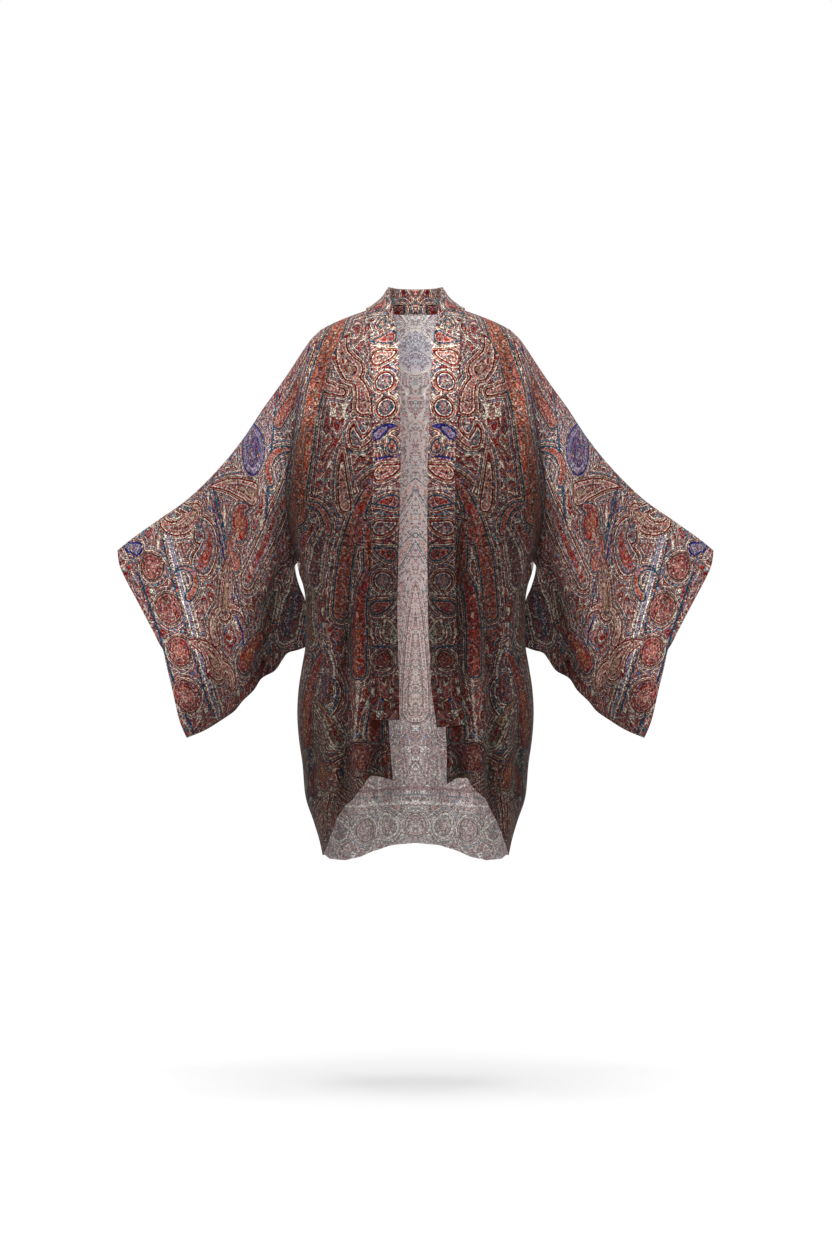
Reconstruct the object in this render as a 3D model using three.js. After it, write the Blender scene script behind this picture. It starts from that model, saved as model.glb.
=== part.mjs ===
// A kimono jacket, worn open and filled out with no wearer: a back, two fronts that are
// cut away at the hem, four sleeve halves and one doubled neckband.
// Millimetres. +X is the wearer's left, -Y is the front and +Z is up. The origin is the
// middle of the neck base, level with the shoulders that hold the jacket up.
import * as THREE from "three";

// Thickness of the single cloth and of the doubled, interfaced neckband
const WALL = 1.6;
const BAND_WALL = 3.2;
// Space left at a seam, and between two layers that lie on each other
const SEAM_GAP = 0.4;
const LAYER_GAP = 0.8;
const BAND_WIDTH = 47;
// How far the band reaches down over the panels at the neck, and how hollow it stands there
const NECK_LAP = 5;
const COLLAR_HOLLOW = 4;
// The band is laid on the panels, so its middle is this far out from theirs
const BAND_LIFT = WALL / 2 + LAYER_GAP + BAND_WALL / 2;
// It stands off a little more where it turns round the neck
const COLLAR_LIFT = 0.7;
// Roundness of the body's cross-section: 2 is an ellipse, and more is boxier
const RING_POWER = 2.25;

// Columns and rows of the panels' grids. Rows above the armpit are shared with the sleeves
const ARMHOLE_ROWS = 12;
const SIDE_ROWS = 14;
const FURI_ROWS = 5;
const FRONT_COLUMNS = 16;
const NECK_COLUMNS = 5;
const SLEEVE_COLUMNS = 13;
const BAND_COLUMNS = 5;
const BODY_ROWS = ARMHOLE_ROWS + SIDE_ROWS;
const SLEEVE_ROWS = ARMHOLE_ROWS + FURI_ROWS;

// Shoulder line from the neck point to the sleeve: distance from the centre, height
const SHOULDER = [
  [80, 4],
  [106, -5],
  [130, -14],
  [150, -23],
  [166, -32],
  [183, -49],
  [195, -66],
];
const NECK_X = SHOULDER[0][0];
const TIP_X = SHOULDER.at(-1)[0];

// Armhole seam from the shoulder to the armpit: distance out, depth to front or back, height
const ARMHOLE = [
  [195, 0, -66],
  [196, 26, -79],
  [199, 45, -112],
  [206, 58, -160],
  [217, 65, -235],
  [225, 63, -310],
  [222, 48, -375],
  [214, 26, -418],
  [207, 4, -437],
];

// Side seam from the armpit to the hem: distance out, depth, height
const SIDE_SEAM = [
  [207, 4, -437],
  [204, 0, -454],
  [196, 0, -478],
  [192, 0, -500],
  [191, 0, -545],
  [192, 0, -586],
  [198, 0, -622],
  [204, 0, -662],
  [206, 0, -705],
  [203, 0, -748],
  [197, 0, -790],
  [191, 0, -850],
  [178, 0, -889],
  [167, 0, -924],
  [161, 0, -950],
];

// Open inner edge of a sleeve below the armpit, which hangs just behind the body's side:
// distance out, depth of the front half, depth of the back half, height
const FURI = [
  [211, -6, 6, -439],
  [210, -2, 9, -456],
  [203, 8, 20, -482],
  [193, 20, 34, -508],
  [188, 30, 44, -545],
  [186, 39, 39, -583],
];

// Top fold of a sleeve from the shoulder to the cuff: distance out, height
const SLEEVE_TOP = [
  [195, -66],
  [230, -119],
  [267, -171],
  [302, -224],
  [344, -276],
  [398, -329],
  [447, -364],
  [496, -399],
  [519, -418],
];

// Lower edge of a sleeve from its inner corner to the cuff: distance out, height
const SLEEVE_BOTTOM = [
  [186, -583],
  [207, -591],
  [226, -597],
  [235, -609],
  [247, -627],
  [270, -641],
  [283, -661],
  [303, -681],
  [316, -697],
  [340, -714],
  [368, -731],
  [399, -744],
];

// Cuff edge from the top fold to the lower corner, with its notch: distance out, height
const CUFF = [
  [519, -418],
  [514, -444],
  [503, -469],
  [476, -521],
  [457, -557],
  [444, -581],
  [437, -592],
  [432, -615],
  [421, -662],
  [410, -714],
  [399, -744],
];

// Half thickness of a sleeve along its length, and how far its middle swings forward
const SLEEVE_DEPTH = [
  [0, 64],
  [0.35, 50],
  [0.7, 36],
  [1, 27],
];
const CUFF_FORWARD = 14;
// The front half's cuff edge rolls inwards between its top corner and the notch
const CUFF_ROLL = 13;

// Centre line of the back: depth, height
const CENTRE_BACK = [
  [62, 2],
  [76, -26],
  [92, -90],
  [102, -180],
  [99, -300],
  [94, -430],
  [97, -560],
  [106, -700],
  [111, -800],
  [106, -939],
];
// Back hem from the centre to the side seam: distance from the centre, height
const BACK_HEM = [
  [0, -939],
  [40, -943],
  [73, -952],
  [100, -962],
  [125, -967],
  [150, -961],
  [161, -950],
];

// Neckline and front edge of each front, under the band: distance out, depth, height
const NECK_EDGE = [
  [80, 0, 4],
  [79, -32, -6],
  [72, -60, -32],
  [60, -84, -72],
  [51, -102, -122],
  [47, -116, -190],
  [45, -121, -280],
  [45, -118, -380],
];
const FRONTS = {
  right: {
    side: -1,
    edge: [
      ...NECK_EDGE,
      [46, -117, -440],
      [47, -119, -560],
      [46, -123, -690],
      [44, -125, -735],
      [38, -127, -811],
    ],
    // Hem from the front edge to the side seam: distance out, height
    hem: [
      [38, -811],
      [60, -805],
      [78, -804],
      [90, -824],
      [104, -843],
      [123, -857],
      [133, -876],
      [139, -898],
      [147, -925],
      [161, -950],
    ],
    // Free edge of the band from the chest to its lower end: distance out, height
    band: [
      [30, -62],
      [27, -120],
      [25, -290],
      [29, -440],
      [31, -530],
      [28, -640],
      [27, -709],
    ],
  },
  left: {
    side: 1,
    edge: [
      ...NECK_EDGE,
      [45, -117, -440],
      [44, -119, -560],
      [49, -123, -690],
      [52, -125, -740],
      [53, -127, -817],
    ],
    hem: [
      [53, -817],
      [70, -808],
      [88, -807],
      [96, -824],
      [108, -836],
      [122, -845],
      [131, -862],
      [140, -885],
      [149, -918],
      [161, -950],
    ],
    band: [
      [29, -62],
      [26, -120],
      [20, -290],
      [20, -440],
      [21, -530],
      [26, -650],
      [36, -721],
    ],
  },
};

// Free edge of the band round the back of the neck, from the centre to the neck point
const COLLAR_BACK = [
  [0, 52, 47],
  [30, 44, 47],
  [46, 4, 44],
];
// Free edge of the band beside the neck, one row for each of the front's first rows
const COLLAR_FRONT = [
  [46, 4, 44],
  [45, -10, 38],
  [43, -32, 22],
  [38, -56, -9],
];

// Folds, each a soft ridge (+) or trough (-) along a line: the two ends, half width, height.
// side is 1 or -1 where only one side of the jacket has it, and 0 where both do
const FOLD_COLUMNS = ["side", "x0", "z0", "x1", "z1", "width", "height"];
const FRONT_FOLDS = [
  [0, 128, -22, 117, -190, 11, -5],
  [0, 152, -40, 160, -265, 12, -8],
  [0, 176, -62, 186, -320, 11, 6],
  [0, 204, -110, 222, -330, 14, -7],
  [0, 226, -330, 212, -445, 15, -11],
  [0, 240, -130, 262, -470, 20, 8],
  [0, 236, -440, 268, -640, 14, -13],
  [0, 292, -330, 318, -700, 22, 7],
  [0, 330, -420, 352, -720, 15, -6],
  [0, 400, -350, 412, -720, 30, 5],
  [0, 100, -360, 122, -640, 12, -6],
  [-1, 62, -360, 64, -830, 13, -12],
  [-1, 88, -330, 95, -840, 13, 9],
  [-1, 120, -500, 122, -870, 13, -8],
  [-1, 147, -470, 146, -940, 13, 6],
  [1, 76, -300, 72, -830, 13, -13],
  [1, 104, -330, 106, -850, 14, 9],
  [1, 132, -520, 130, -890, 13, -8],
  [1, 156, -480, 152, -940, 12, 6],
];
const BACK_FOLDS = [
  [0, 0, -300, 0, -960, 24, -6],
  [0, 40, -260, 46, -980, 18, 8],
  [-1, 67, -620, 65, -980, 7, -8],
  [0, 92, -300, 104, -980, 18, -8],
  [0, 138, -380, 134, -980, 17, 7],
  [0, 168, -150, 178, -420, 14, -7],
  [0, 228, -170, 250, -460, 20, 7],
  [0, 240, -440, 270, -640, 15, -9],
  [0, 300, -330, 330, -700, 22, 7],
  [0, 372, -350, 386, -720, 22, -5],
];
const FOLDS = {
  front: FRONT_FOLDS.map(namedRow),
  back: BACK_FOLDS.map(namedRow),
};

const COLOURS = {
  fronts: 0x6b3f3b,
  back: 0x9c8580,
  sleeves: 0x7a4c46,
  band: 0x8a5f52,
};

function namedRow(row) {
  return Object.fromEntries(FOLD_COLUMNS.map((name, i) => [name, row[i]]));
}

const lerp = THREE.MathUtils.lerp;
const clamp = THREE.MathUtils.clamp;
const smooth = (low, high, x) => THREE.MathUtils.smoothstep(x, low, high);

// A smooth curve through the rows of a table, read by its share of the length
function curveThrough(points) {
  const curve = new THREE.CatmullRomCurve3(points, false, "centripetal");
  curve.arcLengthDivisions = 400;
  return (share) => curve.getPointAt(clamp(share, 0, 1));
}

// Linear look-up of a table's second column by its first, which rises
function lookUp(rows, key) {
  const last = rows.length - 1;
  const next = rows.findIndex((row) => row[0] > key);
  const i = next < 0 ? last : Math.max(next, 1);
  const [low, high] = [rows[i - 1], rows[i]];
  return lerp(low[1], high[1], clamp((key - low[0]) / (high[0] - low[0]), 0, 1));
}

const vector = (x, y, z) => new THREE.Vector3(x, y, z);
const flatCurve = (rows) => curveThrough(rows.map(([x, z]) => vector(x, 0, z)));

// How far the folds push the cloth out at a place seen from the front
function foldHeight(layer, x, z) {
  let height = 0;
  for (const fold of FOLDS[layer]) {
    if (fold.side * x < 0) continue;
    const dx = fold.x1 - fold.x0;
    const dz = fold.z1 - fold.z0;
    const length = Math.hypot(dx, dz);
    const px = Math.abs(x) - fold.x0;
    const pz = z - fold.z0;
    const along = (px * dx + pz * dz) / (length * length);
    const across = (px * dz - pz * dx) / length;
    const fade = smooth(-0.12, 0.3, along) * (1 - smooth(0.85, 1.15, along));
    height += fold.height * fade * Math.exp(-((across / fold.width) ** 2));
  }
  return height;
}

// Row shares: more rows over the shoulder, where the cloth turns, and even ones below
const upperShare = (row) => (row / ARMHOLE_ROWS) ** 1.3;
const lowerShare = (row) => (row - ARMHOLE_ROWS) / SIDE_ROWS;

const armhole = curveThrough(ARMHOLE.map(([x, y, z]) => vector(x, y, z)));
const sideSeam = curveThrough(SIDE_SEAM.map(([x, y, z]) => vector(x, y, z)));

// Outer edge of the body's panels at a row: the armhole above the armpit, and the side seam
function outerEdge(row) {
  return row <= ARMHOLE_ROWS ? armhole(upperShare(row)) : sideSeam(lowerShare(row));
}

// An edge curve as two stretches, above and below the armpit's level, read by row
function edgeByRow(points, splitHeight) {
  const curve = curveThrough(points);
  let split = 0;
  while (split < 1 && curve(split).z > splitHeight) split += 0.002;
  return (row) =>
    row <= ARMHOLE_ROWS
      ? curve(split * upperShare(row))
      : curve(lerp(split, 1, lowerShare(row)));
}

const ring = (s) => (1 - Math.abs(s) ** RING_POWER) ** (1 / RING_POWER);
const ARMPIT_LEVEL = -432;

// A front's surface: s runs from 0 at its front edge to 1 at the armhole and side seam,
// and goes below 0 for the band, which reaches past that edge. row runs down from the shoulder
function frontSurface(front) {
  const edge = edgeByRow(
    front.edge.map(([x, y, z]) => vector(x, y, z)),
    ARMPIT_LEVEL,
  );
  return (s, row) => {
    const inner = edge(row);
    const outer = outerEdge(row);
    const share = row / BODY_ROWS;
    const [tip, neck] = [outerEdge(0), edge(0)];
    const [hemOut, hemIn] = [outerEdge(BODY_ROWS), edge(BODY_ROWS)];
    const across = clamp(s, 0, 1);
    const shoulder = lookUp(SHOULDER, lerp(neck.x, tip.x, across)) - lerp(neck.z, tip.z, across);
    const hem = lookUp(front.hem, lerp(hemIn.x, hemOut.x, across)) - lerp(hemIn.z, hemOut.z, across);
    return vector(
      front.side * lerp(inner.x, outer.x, s),
      -lerp(outer.y, -inner.y, ring(s)),
      lerp(inner.z, outer.z, across) + (1 - share) ** 2 * shoulder + share ** 3 * hem,
    );
  };
}

const centreBack = edgeByRow(
  CENTRE_BACK.map(([y, z]) => vector(0, y, z)),
  ARMPIT_LEVEL,
);

// The back's surface: s runs from -1 at the wearer's right to 1 at the left
function backSurface(s, row) {
  const a = Math.abs(s);
  const inner = centreBack(row);
  const outer = outerEdge(row);
  const share = row / BODY_ROWS;
  const topX = a * outerEdge(0).x;
  const inNeck = topX < NECK_X;
  const neckShare = clamp(topX / NECK_X, 0, 1);
  const topY = centreBack(0).y * Math.sqrt(1 - neckShare ** 2);
  const topZ = inNeck ? lerp(centreBack(0).z, SHOULDER[0][1], neckShare) : lookUp(SHOULDER, topX);
  const hem = lookUp(BACK_HEM, a * outerEdge(BODY_ROWS).x);
  const fromTop = (1 - clamp(row / (ARMHOLE_ROWS * 0.75), 0, 1)) ** 2;
  const y = lerp(outer.y, inner.y, ring(a));
  return vector(
    Math.sign(s) * a * outer.x,
    y + fromTop * (topY - centreBack(0).y * ring(a)),
    lerp(inner.z, outer.z, a) +
      (1 - share) ** 3 * (topZ - lerp(centreBack(0).z, outerEdge(0).z, a)) +
      share ** 4 * (hem - lerp(centreBack(BODY_ROWS).z, outerEdge(BODY_ROWS).z, a)),
  );
}

const sleeveTop = flatCurve(SLEEVE_TOP);
const sleeveBottom = flatCurve(SLEEVE_BOTTOM);
const cuff = flatCurve(CUFF);
const furi = {
  front: curveThrough(FURI.map(([x, y, , z]) => vector(x, y, z))),
  back: curveThrough(FURI.map(([x, , y, z]) => vector(x, y, z))),
};

// Inner edge of a sleeve half at a row: sewn to the armhole, and free below the armpit
function sleeveInner(layer, row) {
  if (row > ARMHOLE_ROWS) return furi[layer]((row - ARMHOLE_ROWS) / FURI_ROWS);
  const p = armhole(upperShare(row));
  return layer === "front" ? p.setY(-p.y) : p;
}

// A sleeve half's surface: s runs from 0 at the armhole to 1 at the cuff, row down from the top
function sleeveSurface(side, layer) {
  const facing = layer === "front" ? -1 : 1;
  return (s, row) => {
    const down = row / SLEEVE_ROWS;
    const t = (1 - Math.cos(Math.PI * down)) / 2;
    const inner = sleeveInner(layer, row);
    const outer = cuff(t);
    const [top, bottom] = [sleeveTop(s), sleeveBottom(s)];
    const [inTop, inBottom] = [sleeveInner(layer, 0), sleeveInner(layer, SLEEVE_ROWS)];
    const between = (k) =>
      lerp(inner[k], outer[k], s) +
      (1 - t) * (top[k] - lerp(inTop[k], sleeveTop(1)[k], s)) +
      t * (bottom[k] - lerp(inBottom[k], sleeveBottom(1)[k], s));
    const bulge = Math.sin(Math.PI * down) ** 0.85 * (1 - 0.25 * down);
    const middle = -CUFF_FORWARD * s;
    const roll = layer === "front" ? CUFF_ROLL * smooth(0.86, 1, s) * smooth(0.08, 0.3, t) : 0;
    const rolled = roll * (1 - smooth(0.42, 0.6, t));
    const hung = middle + facing * lookUp(SLEEVE_DEPTH, s) * bulge + rolled;
    return vector(side * between("x"), lerp(inner.y, hung, smooth(0, 0.6, s)), between("z"));
  };
}

// Points of a surface on a grid, pushed out along its normals by the folds
function makeGrid({ surface, across, rows, layer, facing, seams, foldShare }) {
  const points = across.map((s) => rows.map((row) => surface(s, row)));
  const flat = { points, facing, seams };
  const normals = gridNormals(flat);
  points.forEach((column, i) =>
    column.forEach((p, j) => {
      const height = foldHeight(layer, p.x, p.z) * foldShare(p, j);
      p.addScaledVector(normals[i][j], height);
    }),
  );
  return { ...flat, normals: gridNormals(flat) };
}

function gridNormals({ points, facing }) {
  const columns = points.length;
  const rows = points[0].length;
  return points.map((column, i) =>
    column.map((_, j) => {
      const right = points[Math.min(i + 1, columns - 1)][j];
      const left = points[Math.max(i - 1, 0)][j];
      const down = column[Math.min(j + 1, rows - 1)];
      const up = column[Math.max(j - 1, 0)];
      const across = right.clone().sub(left);
      return across.cross(down.clone().sub(up)).normalize().multiplyScalar(facing);
    }),
  );
}

// Edge points of neighbouring panels that meet get one place and one normal
function joinSeams(grids) {
  const edgePoints = [];
  for (const { points, normals } of grids) {
    const [lastColumn, lastRow] = [points.length - 1, points[0].length - 1];
    points.forEach((column, i) =>
      column.forEach((p, j) => {
        const onEdge = i === 0 || i === lastColumn || j === 0 || j === lastRow;
        if (onEdge) edgePoints.push({ p, n: normals[i][j], done: false });
      }),
    );
  }
  for (const first of edgePoints) {
    if (first.done) continue;
    const group = edgePoints.filter((e) => !e.done && meet(e, first));
    const place = vector(0, 0, 0);
    const normal = vector(0, 0, 0);
    for (const e of group) {
      place.addScaledVector(e.p, 1 / group.length);
      normal.add(e.n);
    }
    for (const e of group) {
      e.done = true;
      if (group.length > 1) {
        e.p.copy(place);
        e.n.copy(normal).normalize();
      }
    }
  }
}

// Two edge points belong together if they started from the same place, before the folds
function meet(a, b) {
  return a === b || a.p.start.distanceTo(b.p.start) < 1;
}

// Each sewn edge is drawn back from its seam by half the gap
function drawBack({ points, seams }) {
  const [lastColumn, lastRow] = [points.length - 1, points[0].length - 1];
  const moves = [];
  const pull = (p, inside) =>
    moves.push([p, inside.clone().sub(p).setLength(SEAM_GAP / 2)]);
  points.forEach((column, i) =>
    column.forEach((p, j) => {
      if (j === 0 && seams.top(i)) pull(p, column[1]);
      if (j === lastRow && seams.bottom) pull(p, column[j - 1]);
      if (i === 0 && seams.first(j)) pull(p, points[1][j]);
      if (i === lastColumn && seams.last(j)) pull(p, points[i - 1][j]);
    }),
  );
  for (const [p, move] of moves) p.add(move);
}

// A closed wall of even thickness around a grid
function wallGeometry({ points, normals }, thickness) {
  const columns = points.length;
  const rows = points[0].length;
  const positions = [];
  for (const half of [thickness / 2, -thickness / 2]) {
    points.forEach((column, i) =>
      column.forEach((p, j) => {
        const q = p.clone().addScaledVector(normals[i][j], half);
        positions.push(q.x, q.y, q.z);
      }),
    );
  }
  const outside = (i, j) => i * rows + j;
  const inside = (i, j) => columns * rows + outside(i, j);
  const index = [];
  const corner = (k) => vector(...positions.slice(3 * k, 3 * k + 3));
  const quad = (a, b, c, d) => {
    const firstIsShorter = corner(a).distanceTo(corner(c)) < corner(b).distanceTo(corner(d)) + 1e-4;
    if (firstIsShorter) index.push(a, b, c, a, c, d);
    else index.push(a, b, d, b, c, d);
  };
  for (let i = 0; i < columns - 1; i++) {
    for (let j = 0; j < rows - 1; j++) {
      quad(outside(i, j), outside(i, j + 1), outside(i + 1, j + 1), outside(i + 1, j));
      quad(inside(i, j), inside(i + 1, j), inside(i + 1, j + 1), inside(i, j + 1));
    }
  }
  for (let i = 0; i < columns - 1; i++) {
    const last = rows - 1;
    quad(outside(i, 0), outside(i + 1, 0), inside(i + 1, 0), inside(i, 0));
    quad(outside(i, last), inside(i, last), inside(i + 1, last), outside(i + 1, last));
  }
  for (let j = 0; j < rows - 1; j++) {
    const last = columns - 1;
    quad(outside(0, j), inside(0, j), inside(0, j + 1), outside(0, j + 1));
    quad(outside(last, j), outside(last, j + 1), inside(last, j + 1), inside(last, j));
  }
  const geometry = new THREE.BufferGeometry();
  geometry.setAttribute("position", new THREE.Float32BufferAttribute(positions, 3));
  geometry.setIndex(index);
  return outwards(geometry);
}

// Turns the faces round if they enclose a negative volume
function outwards(geometry) {
  const p = geometry.getAttribute("position");
  const index = geometry.getIndex().array;
  const [a, b, c] = [vector(0, 0, 0), vector(0, 0, 0), vector(0, 0, 0)];
  let volume = 0;
  for (let k = 0; k < index.length; k += 3) {
    a.fromBufferAttribute(p, index[k]);
    b.fromBufferAttribute(p, index[k + 1]);
    c.fromBufferAttribute(p, index[k + 2]);
    volume += a.dot(b.cross(c));
  }
  if (volume < 0) {
    for (let k = 0; k < index.length; k += 3) {
      [index[k + 1], index[k + 2]] = [index[k + 2], index[k + 1]];
    }
  }
  geometry.computeVertexNormals();
  return geometry;
}

const count = (n) => [...Array(n + 1).keys()];
const never = () => false;
const always = () => true;
// Columns of a front, closer together towards the side, where the cloth turns
const FRONT_SHARES = count(FRONT_COLUMNS).map((i) => Math.sin(((i / FRONT_COLUMNS) * Math.PI) / 2));

// The stiff band keeps the cloth under it free of folds
function frontGrid(front) {
  const freeEdge = front.band.map(([x, z]) => [-z, x]);
  const below = (z) => front.band.at(-1)[1] - z;
  const bandSeam = (z) => lookUp(freeEdge, -z) + lerp(BAND_WIDTH, 8, smooth(25, 90, below(z)));
  return makeGrid({
    surface: marked(frontSurface(front)),
    across: FRONT_SHARES,
    rows: count(BODY_ROWS),
    layer: "front",
    facing: -front.side,
    seams: { top: always, bottom: false, first: never, last: always },
    foldShare: (p) => smooth(-4, 30, Math.abs(p.x) - bandSeam(p.z)),
  });
}

function backGrid() {
  const neck = count(NECK_COLUMNS - 1).map((i) => NECK_X * Math.sin(((i / NECK_COLUMNS) * Math.PI) / 2));
  const shoulder = FRONT_SHARES.map((s) => lerp(NECK_X, TIP_X, s));
  const half = [...neck, ...shoulder].map((x) => x / TIP_X);
  const across = [...half.slice(1).reverse().map((s) => -s), ...half];
  const onShoulder = (i) => Math.abs(i - (across.length - 1) / 2) >= NECK_COLUMNS;
  return makeGrid({
    surface: marked(backSurface),
    across,
    rows: count(BODY_ROWS),
    layer: "back",
    facing: 1,
    seams: { top: onShoulder, bottom: false, first: always, last: always },
    foldShare: () => 1,
  });
}

function sleeveGrid(side, layer) {
  return makeGrid({
    surface: marked(sleeveSurface(side, layer)),
    across: count(SLEEVE_COLUMNS).map((i) => i / SLEEVE_COLUMNS),
    rows: count(SLEEVE_ROWS),
    layer,
    facing: layer === "front" ? -side : side,
    seams: {
      top: always,
      bottom: true,
      first: (j) => j <= ARMHOLE_ROWS,
      last: never,
    },
    foldShare: (p, j) => Math.sin((Math.PI * j) / SLEEVE_ROWS) ** 0.8,
  });
}

// Each point keeps the place where it started, so that seams can be matched
function marked(surface) {
  return (s, row) => {
    const p = surface(s, row);
    p.start = p.clone();
    return p;
  };
}

// A line across a front at a row, which may lie between two of the grid's rows
function rowLine({ points, normals }, row) {
  const upper = Math.min(Math.floor(row), BODY_ROWS - 1);
  const share = row - upper;
  const between = (column) => column[upper].clone().lerp(column[upper + 1], share);
  return points.map((column, i) => ({ p: between(column), n: between(normals[i]).normalize() }));
}

// Where the band's seam crosses a row of a front: on the grid's own line, moved out
function pathOnPanel(line, seamX, lift) {
  const inside = line.findIndex(({ p }) => Math.abs(p.x) > seamX);
  const [near, far] = [line[inside - 1] ?? line[0], line[Math.max(inside, 1)]];
  const share = clamp((seamX - Math.abs(near.p.x)) / (Math.abs(far.p.x) - Math.abs(near.p.x)), 0, 1);
  const seam = { p: near.p.clone().lerp(far.p, share), n: near.n.clone().lerp(far.n, share) };
  return [seam, ...line.slice(0, Math.max(inside, 1)).reverse()].map(({ p, n }) =>
    p.clone().addScaledVector(n, lift),
  );
}

// A path that goes on from the panel to the collar's top edge, a little hollow on its way
function hollowPath(onPanel, top) {
  const middle = onPanel.at(-1).clone().lerp(top, 0.5);
  const out = vector(middle.x, middle.y, 0).normalize();
  middle.addScaledVector(out, -COLLAR_HOLLOW).setZ(middle.z - COLLAR_HOLLOW / 2);
  return [...onPanel, middle, top];
}

// Evenly spaced points along a path, without the ones that nearly coincide
function station(path) {
  const kept = path.filter((p, i) => i === 0 || p.distanceTo(path[i - 1]) > 2.5);
  const curve = curveThrough(kept);
  return count(BAND_COLUMNS).map((c) => curve(c / BAND_COLUMNS));
}

// Stations of the band down one front, from the neck point to its lower end
function frontStations(front, grid) {
  const surface = frontSurface(front);
  const freeEdge = front.band.map(([x, z]) => [-z, x]);
  const lastHeight = front.band.at(-1)[1];
  const reach = (row) => rowLine(grid, row)[0].p.z - lastHeight;
  let end = BODY_ROWS;
  while (reach(end) < 0) end -= 0.02;
  const rows = [...count(Math.ceil(end) - 1), end];
  return rows.map((row) => {
    const line = rowLine(grid, row);
    const edge = line[0].p;
    const freeX = lookUp(freeEdge, -edge.z);
    const seamX = Math.max(freeX + BAND_WIDTH, Math.abs(edge.x) + NECK_LAP);
    const lift = BAND_LIFT + COLLAR_LIFT * (1 - smooth(4, 7, row));
    const onPanel = pathOnPanel(line, seamX, lift);
    if (row < COLLAR_FRONT.length) {
      const [x, y, z] = COLLAR_FRONT[row];
      return station(hollowPath(onPanel, vector(front.side * x, y, z)));
    }
    const outer = outerEdge(row);
    const s = (freeX - Math.abs(edge.x)) / (outer.x - Math.abs(edge.x));
    const [free, start] = [surface(s, row), surface(0, row)];
    return station([...onPanel, free.sub(start).add(onPanel.at(-1))]);
  });
}

// Stations of the band round the back of the neck, from the centre to the neck point
function neckStations(side, grid) {
  const middle = (grid.points.length - 1) / 2;
  const freeEdge = curveThrough(COLLAR_BACK.map(([x, y, z]) => vector(side * x, y, z)));
  return count(NECK_COLUMNS - 1).map((i) => {
    const column = middle + side * i;
    const [top, below] = grid.points[column];
    const lap = NECK_LAP / top.distanceTo(below);
    const onPanel = [top.clone().lerp(below, lap), top.clone()];
    onPanel.forEach((p) => p.addScaledVector(grid.normals[column][0], BAND_LIFT + COLLAR_LIFT));
    return station(hollowPath(onPanel, freeEdge(i / NECK_COLUMNS)));
  });
}

function bandGrid() {
  const right = [
    ...neckStations(-1, panels.back).slice(1),
    ...frontStations(FRONTS.right, panels.front_right),
  ];
  const left = [
    ...neckStations(1, panels.back),
    ...frontStations(FRONTS.left, panels.front_left),
  ];
  const points = [...right.reverse(), ...left];
  const grid = { points, facing: 1 };
  return { ...grid, normals: gridNormals(grid) };
}

function cloth(name, grid, thickness, colour) {
  const material = new THREE.MeshStandardMaterial({
    color: colour,
    roughness: 0.85,
    metalness: 0,
    side: THREE.DoubleSide,
  });
  const mesh = new THREE.Mesh(wallGeometry(grid, thickness), material);
  mesh.name = name;
  return mesh;
}

const panels = {
  back: backGrid(),
  front_right: frontGrid(FRONTS.right),
  front_left: frontGrid(FRONTS.left),
  sleeve_right_front: sleeveGrid(-1, "front"),
  sleeve_right_back: sleeveGrid(-1, "back"),
  sleeve_left_front: sleeveGrid(1, "front"),
  sleeve_left_back: sleeveGrid(1, "back"),
};
joinSeams(Object.values(panels));
Object.values(panels).forEach(drawBack);

const kimono = new THREE.Group();
kimono.name = "kimono_jacket";
for (const [name, grid] of Object.entries(panels)) {
  const colour = name.startsWith("sleeve") ? COLOURS.sleeves : name === "back" ? COLOURS.back : COLOURS.fronts;
  kimono.add(cloth(name, grid, WALL, colour));
}
kimono.add(cloth("neckband", bandGrid(), BAND_WALL, COLOURS.band));

export default kimono;
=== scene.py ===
"""Looks of the open kimono jacket: thin shells on the solids' form, with finer creases, and a
traditional paisley print that is drawn by rule over the flat cloth. Millimetres in the making,
metres in the meshes. The tables of the cut are the ones that the solids are made from."""

import math

import bpy
import numpy as np
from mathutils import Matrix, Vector


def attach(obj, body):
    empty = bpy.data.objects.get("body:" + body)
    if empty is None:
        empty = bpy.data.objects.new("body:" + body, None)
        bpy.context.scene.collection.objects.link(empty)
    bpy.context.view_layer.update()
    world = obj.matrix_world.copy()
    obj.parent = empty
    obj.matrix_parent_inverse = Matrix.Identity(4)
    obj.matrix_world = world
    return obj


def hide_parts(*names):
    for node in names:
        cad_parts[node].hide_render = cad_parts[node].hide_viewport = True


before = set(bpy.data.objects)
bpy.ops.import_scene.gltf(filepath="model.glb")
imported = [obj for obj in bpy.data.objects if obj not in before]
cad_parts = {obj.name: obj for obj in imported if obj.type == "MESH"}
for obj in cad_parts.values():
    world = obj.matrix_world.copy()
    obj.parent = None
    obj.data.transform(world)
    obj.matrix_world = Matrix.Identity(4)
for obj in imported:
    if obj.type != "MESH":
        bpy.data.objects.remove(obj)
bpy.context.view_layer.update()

WALL = 1.6
BAND_WALL = 3.2
BAND_WIDTH = 47
NECK_LAP = 5
COLLAR_HOLLOW = 4
BAND_LIFT = WALL / 2 + 0.8 + BAND_WALL / 2
COLLAR_LIFT = 0.7
RING_POWER = 2.25
# Half thickness of the shells, a little under that of the solids
SKIN = 0.7
BAND_SKIN = 1.45
# Share of the armhole's length by row is a power, so rows lie closer near the shoulder
ROW_POWER = 1.3
# The fronts' folds fade under the neckband, less and less so this far below its lower end
BAND_TIP, BAND_TAPER = 8, (25, 90)
# A distance further than any motif or seam reaches
FAR = 99
# How deep a motif's rings go in, and how far its lines reach out
RING_REACH = 16.0

# Rows of the solids' grids, which the tables below are stated for
ARMHOLE_ROWS, SIDE_ROWS, FURI_ROWS = 12, 14, 5
BODY_ROWS = ARMHOLE_ROWS + SIDE_ROWS
SLEEVE_ROWS = ARMHOLE_ROWS + FURI_ROWS
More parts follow.
